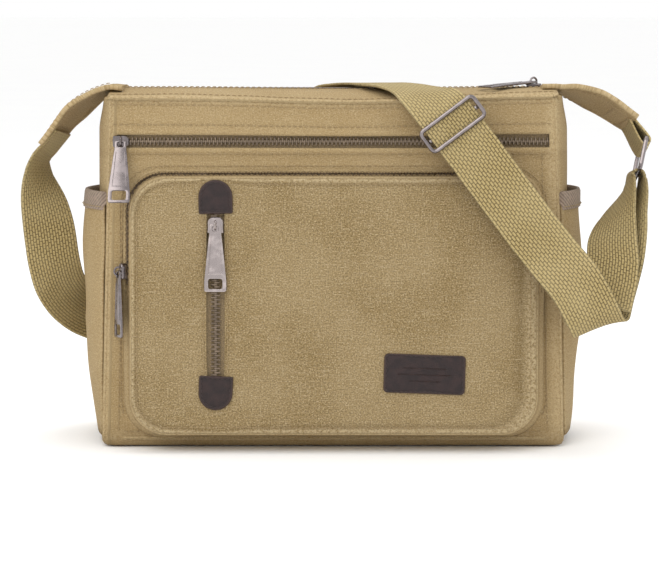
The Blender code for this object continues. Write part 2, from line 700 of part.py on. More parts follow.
def band(name, frames, look="webbing"):
    bm = bmesh.new()
    rings = []
    for middle, _, across, normal in frames:
        corners = [(-1, -1), (1, -1), (1, 1), (-1, 1)]
        offsets = [across * WEBBING_WIDTH / 2 * a + normal * WEBBING / 2 * b for a, b in corners]
        rings.append([bm.verts.new(middle + offset) for offset in offsets])
    wrap(bm, rings)
    return mesh_object(name, bm, look)


def strap():
    """One length of webbing, as stretches cut from one path that meet end to end."""
    outward_leg = carried(centre_line(), 0.008)
    inner = 1 if outward_leg[-1][3].x < 0 else -1
    turn = []
    _, tangent, across, normal = outward_leg[-1]
    tangent = (tangent - across * tangent.dot(across)).normalized()
    middle = outward_leg[-1][0] + normal * inner * RING_PITCH / 2
    for step in range(1, 8):
        angle = math.pi * step / 8
        offset = tangent * math.sin(angle) - normal * inner * math.cos(angle)
        ahead = tangent * math.cos(angle) + normal * inner * math.sin(angle)
        turn.append((middle + offset * RING_PITCH / 2, ahead, across, ahead.cross(across)))
    first_return = next(i for i, f in enumerate(outward_leg) if (f[0] - on_run(0.012)).length < 0.006)
    behind = outward_leg[first_return:]
    returning = []
    for i, (middle, tangent, across, normal) in enumerate(behind):
        share = i / (len(behind) - 1)
        aside = across * 0.004 * math.sin(math.pi * max(0.0, share - 0.7) / 0.3)
        pitch = LAYER_PITCH + (RING_PITCH - LAYER_PITCH) * min(1.0, max(0.0, share - 0.38) / 0.12)
        returning.append((middle + normal * inner * pitch + aside, -tangent, across, -normal))
    frames = outward_leg + turn + returning[::-1]

    def nearest(point, among):
        return min(among, key=lambda i: (frames[i][0] - Vector(point)).length)

    outward_indices = range(len(outward_leg))
    cuts = [0]
    for point in ((-0.190, 0.042, 0.088), (-0.002, 0.059, 0.243), on_run(-0.022), on_run(RUN_LENGTH)):
        cuts.append(nearest(point, outward_indices))
    cuts.append(len(outward_leg) - 2)
    cuts.append(len(outward_leg) + len(turn) + 1)
    cuts.append(len(frames) - 1)
    names = ("left_drop", "back_run", "top_run", "front_run", "lower_fold", "ring_turn", "return_run")
    for name, start, end in zip(names, cuts, cuts[1:]):
        pieces = list(frames[start : end + 1])
        middle, tangent, across, normal = pieces[0]
        if start:
            pieces[0] = (middle + tangent * GAP, tangent, across, normal)
        band(f"strap_{name}", pieces)


def new_collection(name):
    made = bpy.data.collections.new(name)
    bpy.context.scene.collection.children.link(made)
    return made


def leaning_empty(name, side):
    """An empty at the foot of the front (-1) or back (1) panel, leaning in with it."""
    empty = bpy.data.objects.new(name, None)
    BAG.objects.link(empty)
    y = side * (HALF_DEPTH_LOW if side < 0 else HALF_DEPTH_LOW - CANVAS)
    empty.matrix_local = Matrix.Translation((0, y, 0)) @ Matrix.Rotation(side * LEAN, 4, "X")
    return empty


clear_scene()
BAG = new_collection("messenger_bag")
CUTTERS = new_collection("cutters")
FRONT = leaning_empty("front_lean", -1)
BACK = leaning_empty("back_lean", 1)
FACE = bpy.data.objects.new("face_lean", None)
BAG.objects.link(FACE)
FACE.parent = FRONT
FACE_FOOT = POCKET_CENTRE[1] - POCKET_FACE[1] / 2
FACE.matrix_local = (
    Matrix.Translation((0, -POCKET_DEPTH_LOW, FACE_FOOT))
    @ Matrix.Rotation(-FACE_LEAN, 4, "X")
    @ Matrix.Translation((0, 0, -FACE_FOOT))
)
bpy.context.view_layer.update()
canvas_panels()
sides()
top_strips()
lining_pieces()
pocket()
leather_pieces()
zips()
ears()
ring_and_loop()
adjuster()
strap()
bpy.context.view_layer.update()
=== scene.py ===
"""Canvas messenger bag: the visible cloth, leather, webbing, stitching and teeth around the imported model."""

import json
import math

import bmesh
import bpy
from mathutils import Matrix, Vector, noise


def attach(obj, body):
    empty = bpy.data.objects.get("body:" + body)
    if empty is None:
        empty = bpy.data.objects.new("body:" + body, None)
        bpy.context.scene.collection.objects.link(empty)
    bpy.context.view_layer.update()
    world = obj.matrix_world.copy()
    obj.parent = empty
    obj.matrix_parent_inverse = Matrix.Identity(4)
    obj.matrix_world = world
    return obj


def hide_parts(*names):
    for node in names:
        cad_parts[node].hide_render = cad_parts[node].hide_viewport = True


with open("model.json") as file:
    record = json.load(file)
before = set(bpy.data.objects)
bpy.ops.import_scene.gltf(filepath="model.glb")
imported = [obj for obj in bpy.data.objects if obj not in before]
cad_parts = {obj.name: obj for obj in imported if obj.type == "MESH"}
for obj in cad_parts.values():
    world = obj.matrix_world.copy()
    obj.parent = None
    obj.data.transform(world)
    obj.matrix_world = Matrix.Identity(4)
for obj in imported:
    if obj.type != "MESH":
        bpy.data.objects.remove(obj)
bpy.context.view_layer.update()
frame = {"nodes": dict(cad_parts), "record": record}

# ---------------------------------------------------------------- the model's own dimensions, metres
HALF_WIDTH_LOW = 0.1665
HALF_WIDTH_TOP = 0.1600
HALF_DEPTH_LOW = 0.0550
HALF_DEPTH_TOP = 0.0450
PANEL_LOW = 0.006
PANEL_TOP = 0.249
LEAN = math.atan2(HALF_DEPTH_LOW - HALF_DEPTH_TOP, PANEL_TOP)
ZIP_LOW, ZIP_HIGH = 0.2145, 0.2236  # canvas edges beside the long front zip
POCKET_CENTRE = (0.0005, 0.1035)
POCKET_FOOT = (0.298, 0.190, 0.026)
POCKET_FACE = (0.286, 0.180, 0.024)
DEPTH_LOW, DEPTH_TOP = 0.025, 0.012
FACE_LEAN = math.atan2(DEPTH_LOW - DEPTH_TOP, POCKET_FACE[1])
FACE_ZIP_X = -0.083
WINDOW = (0.0128, 0.048, 0.174)
TAB_CENTRES = (0.1806, 0.0420)
WEBBING_WIDTH = 0.038
WEBBING = 0.0019
LAYER_PITCH = 0.0056
RING_PITCH = 0.0086
RUN_START = Vector((0.084, -0.068, 0.232))
RUN_DIRECTION = Vector((0.59, -0.19, -0.785)).normalized()
RUN_LENGTH = 0.098
RING_TOP = Vector((0.226, 0.0, 0.213))
RING_LOW = Vector((0.221, 0.0, 0.190))
EAR_ACROSS = Vector((0.0, 0.944, -0.33)).normalized()
MAIN_ZIP_Z = 0.2538
POCKET_ZIP_END = 0.118

FRONT = Matrix.Translation((0, -HALF_DEPTH_LOW, 0)) @ Matrix.Rotation(-LEAN, 4, "X")
FACE_FOOT = POCKET_CENTRE[1] - POCKET_FACE[1] / 2
FACE = (
    FRONT
    @ Matrix.Translation((0, -DEPTH_LOW, FACE_FOOT))
    @ Matrix.Rotation(-FACE_LEAN, 4, "X")
    @ Matrix.Translation((0, 0, -FACE_FOOT))
)


# ---------------------------------------------------------------- node helpers
class Tree:
    """Builds a node material with short calls."""

    def __init__(self, name, colour, roughness, metallic=0.0):
        self.material = bpy.data.materials.new(name)
        self.material.use_nodes = True
        self.tree = self.material.node_tree
        self.shader = self.tree.nodes["Principled BSDF"]
        self.shader.inputs["Base Color"].default_value = (*colour, 1)
        self.shader.inputs["Roughness"].default_value = roughness
        self.shader.inputs["Metallic"].default_value = metallic

    def add(self, kind, **values):
        node = self.tree.nodes.new("ShaderNode" + kind)
        for key, value in values.items():
            if hasattr(node, key):
                setattr(node, key, value)
        return node

    def link(self, source, target):
        self.tree.links.new(source, target)

    def put(self, socket, value):
        if hasattr(value, "is_output"):
            self.link(value, socket)
        else:
            socket.default_value = value

    def uv(self, scale=(1, 1, 1), turn=0.0):
        source = self.add("UVMap")
        mapping = self.add("Mapping")
        mapping.inputs["Scale"].default_value = scale
        mapping.inputs["Rotation"].default_value = (0, 0, turn)
        self.link(source.outputs["UV"], mapping.inputs["Vector"])
        return mapping.outputs["Vector"]

    def object(self, scale=(1, 1, 1)):
        source = self.add("TexCoord")
        mapping = self.add("Mapping")
        mapping.inputs["Scale"].default_value = scale
        self.link(source.outputs["Object"], mapping.inputs["Vector"])
        return mapping.outputs["Vector"]

    def noise(self, vector, scale, detail=2.0, rough=0.5):
        node = self.add("TexNoise")
        self.link(vector, node.inputs["Vector"])
        node.inputs["Scale"].default_value = scale
        node.inputs["Detail"].default_value = detail
        node.inputs["Roughness"].default_value = rough
        return node.outputs["Fac"]

    def math(self, operation, a, b=0.0, c=0.0, clamp=False):
        node = self.add("Math", operation=operation, use_clamp=clamp)
        for socket, value in zip(node.inputs, (a, b, c)):
            self.put(socket, value)
        return node.outputs[0]

    def steps(self, value, low, high, to_low=0.0, to_high=1.0):
        node = self.add("MapRange", interpolation_type="SMOOTHSTEP")
        for key, given in zip(
            ("Value", "From Min", "From Max", "To Min", "To Max"), (value, low, high, to_low, to_high)
        ):
            self.put(node.inputs[key], given)
        return node.outputs["Result"]

    def mix(self, factor, a, b, blend="MIX"):
        node = self.add("Mix", data_type="RGBA", blend_type=blend)
        self.put(node.inputs["Factor"], factor)
        for socket, value in ((node.inputs[6], a), (node.inputs[7], b)):
            self.put(socket, (*value, 1) if isinstance(value, tuple) and len(value) == 3 else value)
        return node.outputs[2]

    def bump(self, height, distance, strength=1.0, normal=None):
        node = self.add("Bump")
        node.inputs["Distance"].default_value = distance
        node.inputs["Strength"].default_value = strength
        self.link(height, node.inputs["Height"])
        if normal is not None:
            self.link(normal, node.inputs["Normal"])
        return node.outputs["Normal"]

    def attribute(self, name):
        return self.add("Attribute", attribute_name=name).outputs["Fac"]

    def finish(self, colour=None, normal=None, roughness=None):
        for key, value in (("Base Color", colour), ("Normal", normal), ("Roughness", roughness)):
            if value is not None:
                self.link(value, self.shader.inputs[key])
        return self.material


def sheen(tree, weight, roughness=0.5, tint=(0.9, 0.85, 0.7)):
    tree.shader.inputs["Sheen Weight"].default_value = weight
    tree.shader.inputs["Sheen Roughness"].default_value = roughness
    tree.shader.inputs["Sheen Tint"].default_value = (*tint, 1)


def canvas_material(name, base, light, dark, pitch=0.00075, coarse=1.0, contrast=1.0):
    """Plain-weave cotton canvas: crossing threads, slubs, flecks, blotches, pale worn edges and painted shade
    in recesses.
    """
    tree = Tree(name, base, 0.92)
    turn = 2 * math.pi / pitch
    parts = tree.add("SeparateXYZ")
    tree.link(tree.uv(), parts.inputs[0])
    wobble = tree.noise(tree.uv(), 260, 1)
    across = tree.math(
        "SINE", tree.math("MULTIPLY_ADD", parts.outputs[0], turn, tree.math("MULTIPLY", wobble, 5.0))
    )
    up = tree.math(
        "SINE", tree.math("MULTIPLY_ADD", parts.outputs[1], turn, tree.math("MULTIPLY", wobble, 5.0))
    )
    weave = tree.math("MULTIPLY_ADD", tree.math("MULTIPLY", across, up), 0.5, 0.5)
    slub_u = tree.steps(tree.noise(tree.uv((110 * coarse, 1300, 1)), 1.0, 3, 0.6), 0.50, 0.72)
    slub_v = tree.steps(tree.noise(tree.uv((1300, 130 * coarse, 1)), 1.0, 3, 0.6), 0.52, 0.74)
    fleck = tree.math("MAXIMUM", slub_u, slub_v)
    pits = tree.steps(tree.noise(tree.uv((1, 0.8, 1)), 1050, 2, 0.75), 0.36, 0.56, 1.0, 0.0)
    knots = tree.steps(tree.noise(tree.uv((0.6, 1, 1), 0.02), 1150, 2, 0.75), 0.52, 0.68)
    blotch = tree.noise(tree.object(), 16, 3)
    colour = tree.mix(tree.math("MULTIPLY", fleck, 0.36 * contrast), base, light)
    colour = tree.mix(tree.math("MULTIPLY", pits, 0.62 * contrast), colour, dark)
    colour = tree.mix(tree.math("MULTIPLY", knots, 0.50 * contrast), colour, light)
    colour = tree.mix(tree.steps(weave, 0.0, 0.45, 0.38 * contrast, 0.0), colour, dark)
    colour = tree.mix(tree.steps(blotch, 0.35, 0.65, 0.0, 0.12), colour, light)
    worn = tree.math(
        "MULTIPLY", tree.attribute("wear"), tree.steps(tree.noise(tree.uv(), 500, 2), 0.35, 0.6)
    )
    colour = tree.mix(tree.math("MULTIPLY", worn, 0.55), colour, light)
    # Painted shade: the painted_shade weight darkens the canvas in recesses, under folds and at the foot of
    # the bag.
    painted_shade = tree.math("MULTIPLY", tree.attribute("painted_shade"), 0.8)
    colour = tree.mix(painted_shade, colour, dark)
    height = tree.math("ADD", tree.math("MULTIPLY", weave, 0.6), tree.math("MULTIPLY", fleck, 0.5))
    normal = tree.bump(height, 0.00035, 0.8)
    rough = tree.steps(tree.noise(tree.uv(), 300, 1), 0.3, 0.7, 0.86, 0.97)
    sheen(tree, 0.04)
    tree.shader.inputs["Specular IOR Level"].default_value = 0.2
    return tree.finish(colour, normal, rough)


def webbing_material():
    """Heavy cotton webbing: staggered ribs along the strap and a firm selvedge."""
    base, light, dark = (0.385, 0.290, 0.125), (0.62, 0.51, 0.28), (0.12, 0.085, 0.032)
    tree = Tree("webbing_weave", base, 0.9)
    bricks = tree.add("TexBrick")
    tree.link(tree.uv((1, 1, 1), math.pi / 2), bricks.inputs["Vector"])
    for key, value in (
        ("Scale", 1.0),
        ("Mortar Size", 0.00042),
        ("Mortar Smooth", 0.9),
        ("Brick Width", 0.0042),
        ("Row Height", 0.0021),
    ):
        bricks.inputs[key].default_value = value
    gaps = bricks.outputs["Fac"]
    fibre = tree.noise(tree.uv((2600, 500, 1)), 1.0, 2)
    tone = tree.noise(tree.object(), 22, 3)
    colour = tree.mix(tree.math("MULTIPLY", gaps, 0.85), base, dark)
    colour = tree.mix(tree.steps(fibre, 0.5, 0.75, 0.0, 0.55), colour, light)
    colour = tree.mix(tree.steps(tone, 0.35, 0.7, 0.0, 0.25), colour, light)
    worn = tree.math("MULTIPLY", tree.attribute("wear"), tree.steps(tree.noise(tree.uv(), 700, 2), 0.4, 0.6))
    colour = tree.mix(tree.math("MULTIPLY", worn, 0.5), colour, light)
    height = tree.math("SUBTRACT", tree.math("MULTIPLY", fibre, 0.25), gaps)
    sheen(tree, 0.05)
    tree.shader.inputs["Specular IOR Level"].default_value = 0.2
    return tree.finish(colour, tree.bump(height, 0.0007, 1.0), tree.steps(fibre, 0.3, 0.7, 0.82, 0.95))


def leather_material():
    """Dark brown leather: pebbled grain, fine creases and paler rubbed edges."""
    tree = Tree("brown_leather", (0.055, 0.032, 0.028), 0.5)
    cells = tree.add("TexVoronoi", feature="DISTANCE_TO_EDGE")
    tree.link(tree.uv(), cells.inputs["Vector"])
    cells.inputs["Scale"].default_value = 1100
    grain = tree.steps(cells.outputs["Distance"], 0.0, 0.22)
    creases = tree.steps(tree.noise(tree.uv((300, 900, 1)), 1.0, 4, 0.7), 0.42, 0.5)
    tone = tree.noise(tree.uv(), 130, 3)
    colour = tree.mix(tree.steps(tone, 0.35, 0.7), (0.017, 0.009, 0.009), (0.034, 0.019, 0.018))
    tree.shader.inputs["Specular IOR Level"].default_value = 0.35
    colour = tree.mix(tree.math("MULTIPLY", tree.attribute("wear"), 0.35), colour, (0.11, 0.065, 0.05))
    height = tree.math("ADD", tree.math("MULTIPLY", grain, 0.6), tree.math("MULTIPLY", creases, 0.5))
    rough = tree.steps(tone, 0.3, 0.7, 0.42, 0.62)
    return tree.finish(colour, tree.bump(height, 0.00018, 0.8), rough)


def metal_material(name, colour, rough, scratch):
    """Plated metal with brushed micro-scratches, soft smudges and brighter rubbed patches."""
    tree = Tree(name, colour, rough, 1.0)
    lines = tree.noise(tree.object((3000, 3000, 250)), 1.0, 2)
    smudge = tree.noise(tree.object(), 140, 3)
    bright = tuple(min(1.0, c * 2.2) for c in colour)
    tone = tree.mix(tree.steps(smudge, 0.45, 0.75, 0.0, 0.35), colour, bright)
    roughness = tree.steps(
        tree.math("MULTIPLY_ADD", smudge, 0.7, tree.math("MULTIPLY", lines, 0.3)), 0.3, 0.7, rough * 0.7,
        rough * 1.4
    )
    return tree.finish(tone, tree.bump(lines, 0.00004, scratch), roughness)


def twill_material(name, base, dark):
    """Narrow twill tape: fine slanting ribs."""
    tree = Tree(name, base, 0.85)
    ribs = tree.add("TexWave", wave_type="BANDS", bands_direction="DIAGONAL")
    tree.link(tree.uv(), ribs.inputs["Vector"])
    ribs.inputs["Scale"].default_value = 210
    ribs.inputs["Distortion"].default_value = 0.6
    tone = tree.noise(tree.uv(), 400, 3)
    colour = tree.mix(tree.steps(ribs.outputs["Fac"], 0.15, 0.7, 0.7, 0.0), base, dark)
    colour = tree.mix(tree.steps(tone, 0.4, 0.7, 0.0, 0.4), colour, tuple(min(1, c * 1.5) for c in base))
    sheen(tree, 0.1)
    return tree.finish(
        colour, tree.bump(ribs.outputs["Fac"], 0.0003, 0.8), tree.steps(tone, 0.3, 0.7, 0.78, 0.92)
    )


def thread_material():
    tree = Tree("thread", (0.30, 0.21, 0.10), 0.75)
    twist = tree.noise(tree.object((1, 1, 1)), 2500, 2)
    colour = tree.mix(tree.steps(twist, 0.35, 0.65), (0.22, 0.15, 0.07), (0.42, 0.31, 0.16))
    return tree.finish(colour, tree.bump(twist, 0.0001, 0.5), tree.steps(twist, 0.3, 0.7, 0.65, 0.85))


CANVAS = canvas_material("canvas_body", (0.375, 0.265, 0.125), (0.64, 0.51, 0.31), (0.185, 0.12, 0.05))
CANVAS_FACE = canvas_material(
    "canvas_pocket", (0.285, 0.200, 0.088), (0.62, 0.50, 0.31), (0.105, 0.068, 0.027), 0.0009, 0.6, 1.3
)
WEB = webbing_material()
LEATHER = leather_material()
GUNMETAL = metal_material("gunmetal", (0.20, 0.175, 0.175), 0.26, 0.4)
# Painted highlight: a lighter copy of the gunmetal, used for the face zip's slider and pull.
BRIGHT = metal_material("painted_highlight_gunmetal", (0.40, 0.35, 0.34), 0.22, 0.4)
TEETH = metal_material("bronze_teeth", (0.17, 0.13, 0.095), 0.35, 0.3)
TWILL = twill_material("binding_twill", (0.27, 0.205, 0.155), (0.12, 0.085, 0.065))
THREAD = thread_material()


# ---------------------------------------------------------------- mesh helpers
def piece(name, bm, material, replaced=(), body="bag", smooth_angle=50):
    """A finished visible piece that rides on a body and stands for some of the model's nodes."""
    bmesh.ops.recalc_face_normals(bm, faces=bm.faces)
    mesh = bpy.data.meshes.new(name)
    bm.to_mesh(mesh)
    bm.free()
    mesh.shade_smooth()
    mesh.set_sharp_from_angle(angle=math.radians(smooth_angle))
    obj = bpy.data.objects.new(name, mesh)
    bpy.context.scene.collection.objects.link(obj)
    obj.data.materials.append(material)
    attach(obj, body)
    if replaced:
        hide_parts(*replaced)
    return obj


class Build:
    """A bmesh with a UV map in metres, wear weights and painted-shade weights."""

    def __init__(self):
        self.bm = bmesh.new()
        self.uv = self.bm.loops.layers.uv.new("UVMap")
        self.wear = self.bm.verts.layers.float.new("wear")
        # Per-vertex weight of painted shade, read by the canvas material.
        self.painted_shade = self.bm.verts.layers.float.new("painted_shade")
        self.place = {}

    def vert(self, point, uv, wear=0.0, painted_shade=0.0):
        vert = self.bm.verts.new(point)
        vert[self.wear] = wear
        vert[self.painted_shade] = painted_shade
        self.place[vert] = uv
        return vert

    def face(self, verts, uvs=None):
        face = self.bm.faces.new(verts)
        for loop, uv in zip(face.loops, uvs or [self.place[v] for v in verts]):
            loop[self.uv].uv = uv
        return face

    def grid(self, rows, keep=lambda i, j: True):
        for i in range(len(rows) - 1):
            for j in range(len(rows[i]) - 1):
                if keep(i, j):
                    self.face((rows[i][j], rows[i][j + 1], rows[i + 1][j + 1], rows[i + 1][j]))


def solidify(obj, thickness, offset=-1.0):
    modifier = obj.modifiers.new("thickness", "SOLIDIFY")
    modifier.thickness = thickness
    modifier.offset = offset
    return modifier


def lerp(a, b, t):
    return a + (b - a) * t


def clamp01(t):
    return max(0.0, min(1.0, t))


def smoothstep(low, high, value):
    t = clamp01((value - low) / (high - low))
    return t * t * (3 - 2 * t)


def half_width(z):
    return lerp(HALF_WIDTH_LOW, HALF_WIDTH_TOP, (z - PANEL_LOW) / (PANEL_TOP - PANEL_LOW))


def half_depth(z):
    return lerp(HALF_DEPTH_LOW, HALF_DEPTH_TOP, z / PANEL_TOP)


def rounded(width, height, radius, centre=(0.0, 0.0), corner=6, side=0.0):
    """Points round a rounded rectangle from the lower right, its straight sides filled every side metres."""
    corners = []
    for quarter in range(4):
        sx, sy = ((1, -1), (1, 1), (-1, 1), (-1, -1))[quarter]
        cx, cy = centre[0] + sx * (width / 2 - radius), centre[1] + sy * (height / 2 - radius)
        for step in range(corner + 1):
            angle = math.radians(90 * (quarter - 1)) + math.radians(90) * step / corner
            corners.append(Vector((cx + radius * math.cos(angle), cy + radius * math.sin(angle))))
    if not side:
        return corners
    points = []
    for a, b in zip(corners, corners[1:] + corners[:1]):
        count = max(1, round((b - a).length / side))
        points += [a.lerp(b, k / count) for k in range(count)]
    return points


def ripple(point, size, depth, seed=0.0):
    return noise.noise(Vector((point[0] * size + seed, point[1] * size, point[2] * size))) * depth


def smooth_path(points, step):
    points = [Vector(p) for p in points]
    ends = [2 * points[0] - points[1], *points, 2 * points[-1] - points[-2]]
    made = []
    for i in range(1, len(ends) - 2):
        before, start, end, after = ends[i - 1 : i + 3]
        count = max(1, round((end - start).length / step))
        for k in range(count):
            t = k / count
            cubic = 3 * start - before - 3 * end + after
            square = 2 * before - 5 * start + 4 * end - after
            made.append(0.5 * (2 * start + (end - before) * t + square * t * t + cubic * t**3))
    made.append(points[-1])
    return made


def resample(points, step, closed=False):
    """Points every step along a polyline, as (point, tangent)."""
    points = list(points) + ([points[0]] if closed else [])
    lengths = [0.0]
    for a, b in zip(points, points[1:]):
        lengths.append(lengths[-1] + (b - a).length)
    total = lengths[-1]
    count = max(1, int(total / step))
    made, k = [], 0
    for i in range(count + 1):
        at = total * i / count
        while k < len(points) - 2 and lengths[k + 1] < at:
            k += 1
        span = max(1e-9, lengths[k + 1] - lengths[k])
        point = points[k].lerp(points[k + 1], (at - lengths[k]) / span)
        made.append((point, (points[k + 1] - points[k]).normalized()))
    return made


def tube(build, path, radius, closed=False, sides=8, squash=1.0):
    """A round bead along a path, added to a build."""
    rings, along = [], 0.0
    up = Vector((0.3, 0.2, 0.93)).normalized()
    for i, point in enumerate(path):
        ahead = path[(i + 1) % len(path)] if closed else path[min(i + 1, len(path) - 1)]
        behind = path[i - 1] if closed or i else path[0]
        tangent = (ahead - behind).normalized()
        side = tangent.cross(up)
        side = side.normalized() if side.length > 1e-4 else tangent.orthogonal().normalized()
        up = side.cross(tangent).normalized()
        if i:
            along += (point - path[i - 1]).length
        ring = []
        for k in range(sides):
            angle = 2 * math.pi * k / sides
            offset = side * math.cos(angle) * radius + up * math.sin(angle) * radius * squash
            ring.append(build.vert(point + offset, (along, k / sides * 2 * math.pi * radius), 0.7))
        rings.append(ring)
    pairs = list(zip(rings, rings[1:])) + ([(rings[-1], rings[0])] if closed else [])
    for first, second in pairs:
        for k in range(sides):
            build.face((first[k], first[(k + 1) % sides], second[(k + 1) % sides], second[k]))
    if not closed:
        build.face(rings[0][::-1])
        build.face(rings[-1])


STITCHES = Build()


def stitches(path, out, length=0.0030, gap=0.0011, radius=0.00030, build=None, closed=False):
    """Thread stitches that dip into the cloth at both ends. out is a vector or a function of the point."""
    build = build or STITCHES
    for point, tangent in resample([Vector(p) for p in path], length + gap, closed)[:-1]:
        normal = out(point) if callable(out) else Vector(out)
        side = tangent.cross(normal).normalized()
        normal = side.cross(tangent).normalized()
        rings = []
        for t, lift, size in (
            (0, -0.25, 0.5), (0.18, 0.55, 1), (0.5, 0.85, 1.1), (0.82, 0.55, 1), (1, -0.25, 0.5)
        ):
            centre = point + tangent * length * t + normal * radius * lift
            offsets = ((1, 0), (0.5, 0.87), (-0.5, 0.87), (-1, 0), (-0.5, -0.87), (0.5, -0.87))
            ring = [build.vert(centre + (side * a + normal * b) * radius * size, (t, a)) for a, b in offsets]
            rings.append(ring)
        for first, second in zip(rings, rings[1:]):
            for k in range(6):
                build.face((first[k], first[(k + 1) % 6], second[(k + 1) % 6], second[k]))
        build.face(rings[0][::-1])
        build.face(rings[-1])


def teeth(name, path, out, half, pitch, node, height=0.0018):
    """Two interlocking rows of moulded teeth along a closed zip."""
    build = Build()
    for i, (point, tangent) in enumerate(resample(path, pitch)):
        normal = out(point) if callable(out) else Vector(out)
        side = tangent.cross(normal).normalized() * (1 if i % 2 else -1)
        normal = side.cross(tangent).normalized()
        if normal.dot(out(point) if callable(out) else Vector(out)) < 0:
            normal = -normal
        profile = ((-0.30, 0.40), (0.10, 0.62), (0.55, 0.42), (1.0, 0.50))
        lower, upper = [], []
        for reach, wide in profile:
            for sign in (-1, 1):
                at = point + side * half * reach + tangent * pitch * wide * sign
                lower.append(build.vert(at, (reach, sign)))
                top = 0.78 if reach in (-0.30, 1.0) else 1.0
                inset = tangent * pitch * 0.12 * sign
                upper.append(build.vert(at - inset + normal * height * top, (reach, sign)))
        for k in range(0, 6, 2):
            build.face((lower[k], lower[k + 2], upper[k + 2], upper[k]))
            build.face((lower[k + 3], lower[k + 1], upper[k + 1], upper[k + 3]))
            build.face((upper[k], upper[k + 2], upper[k + 3], upper[k + 1]))
            build.face((lower[k + 1], lower[k + 3], lower[k + 2], lower[k]))
        build.face((lower[1], lower[0], upper[0], upper[1]))
        build.face((lower[6], lower[7], upper[7], upper[6]))
    return piece(name, build.bm, TEETH, [node], smooth_angle=35)


# ---------------------------------------------------------------- the body's canvas shell
CORNER = 0.007
SHELL = 0.0016


def side_bulge(z):
    return lerp(0.0060, 0.0115, z / PANEL_TOP) * lerp(1.0, 0.72, smoothstep(0.225, 0.249, z))


def top_sag(x):
    """How far the top edge hangs below its height, deepest under the strap."""
    return 0.0026 * math.exp(-(((x - 0.01) / 0.075) ** 2)) - 0.0012 * smoothstep(0.05, 0.16, x)


def front_out(x, z):
    """How far the canvas of the front stands off the panel's plane."""
    across = clamp01(1 - (x / half_width(z)) ** 2)
    crown = 0.0016 * across**0.5 * math.sin(math.pi * clamp01(z / PANEL_TOP))
    fold = 0.0008 * (1 - smoothstep(0.0035, 0.0050, abs(z - ZIP_HIGH))) * (z >= ZIP_HIGH - 1e-6)
    hem = 0.0008 * (1 - smoothstep(0.0035, 0.0050, abs(z - ZIP_LOW))) * (z <= ZIP_LOW + 1e-6)
    pucker = 0.00035 * math.sin(x * 420) * (1 - smoothstep(0.0, 0.012, abs(z - 0.243)))
    return crown + fold + hem + pucker + ripple((x, 0.0, z), 14, 0.0011) + ripple((x, 1.0, z), 42, 0.0004)


def shell_columns():
    """(kind, share) round the body from the front's left end."""
    columns = []
    for kind, count in (
        ("front", 76), ("fr", 5), ("right", 18), ("br", 5), ("back", 44), ("bl", 5), ("left", 18), ("fl", 5)
    ):
        columns += [(kind, k / count) for k in range(count)]
    return columns


def shell_point(kind, share, z, inset=0.0):
    width, depth = half_width(z) - inset, half_depth(z) - inset
    radius = CORNER
    straight_x, straight_y = width - radius, depth - radius
    if kind == "front":
        x = lerp(-straight_x, straight_x, share)
        point = Vector((x, -depth - (front_out(x, z) if not inset else 0), z))
    elif kind == "back":
        x = lerp(straight_x, -straight_x, share)
        out = 0.002 * (1 - (x / width) ** 2) * math.sin(
            math.pi * clamp01(z / PANEL_TOP)
        ) + ripple((x, 5, z), 12, 0.0012)
        point = Vector((x, depth + (out if not inset else 0), z))
    elif kind in ("right", "left"):
        side = 1 if kind == "right" else -1
        y = lerp(-straight_y, straight_y, share) * side
        bulge = side_bulge(z) * (1 - (y / depth) ** 2) + ripple((side, y, z), 18, 0.0008)
        point = Vector((side * (width - 0.0015 + (bulge if not inset else 0)), y, z))
    else:
        start = {"fr": -90, "br": 0, "bl": 90, "fl": 180}[kind]
        angle = math.radians(start + 90 * share)
        cx = straight_x * (1 if kind in ("fr", "br") else -1)
        cy = straight_y * (1 if kind in ("br", "bl") else -1)
        point = Vector((cx + radius * math.cos(angle), cy + radius * math.sin(angle), z))
    point.z -= top_sag(point.x) * smoothstep(0.205, 0.249, z)
    return point


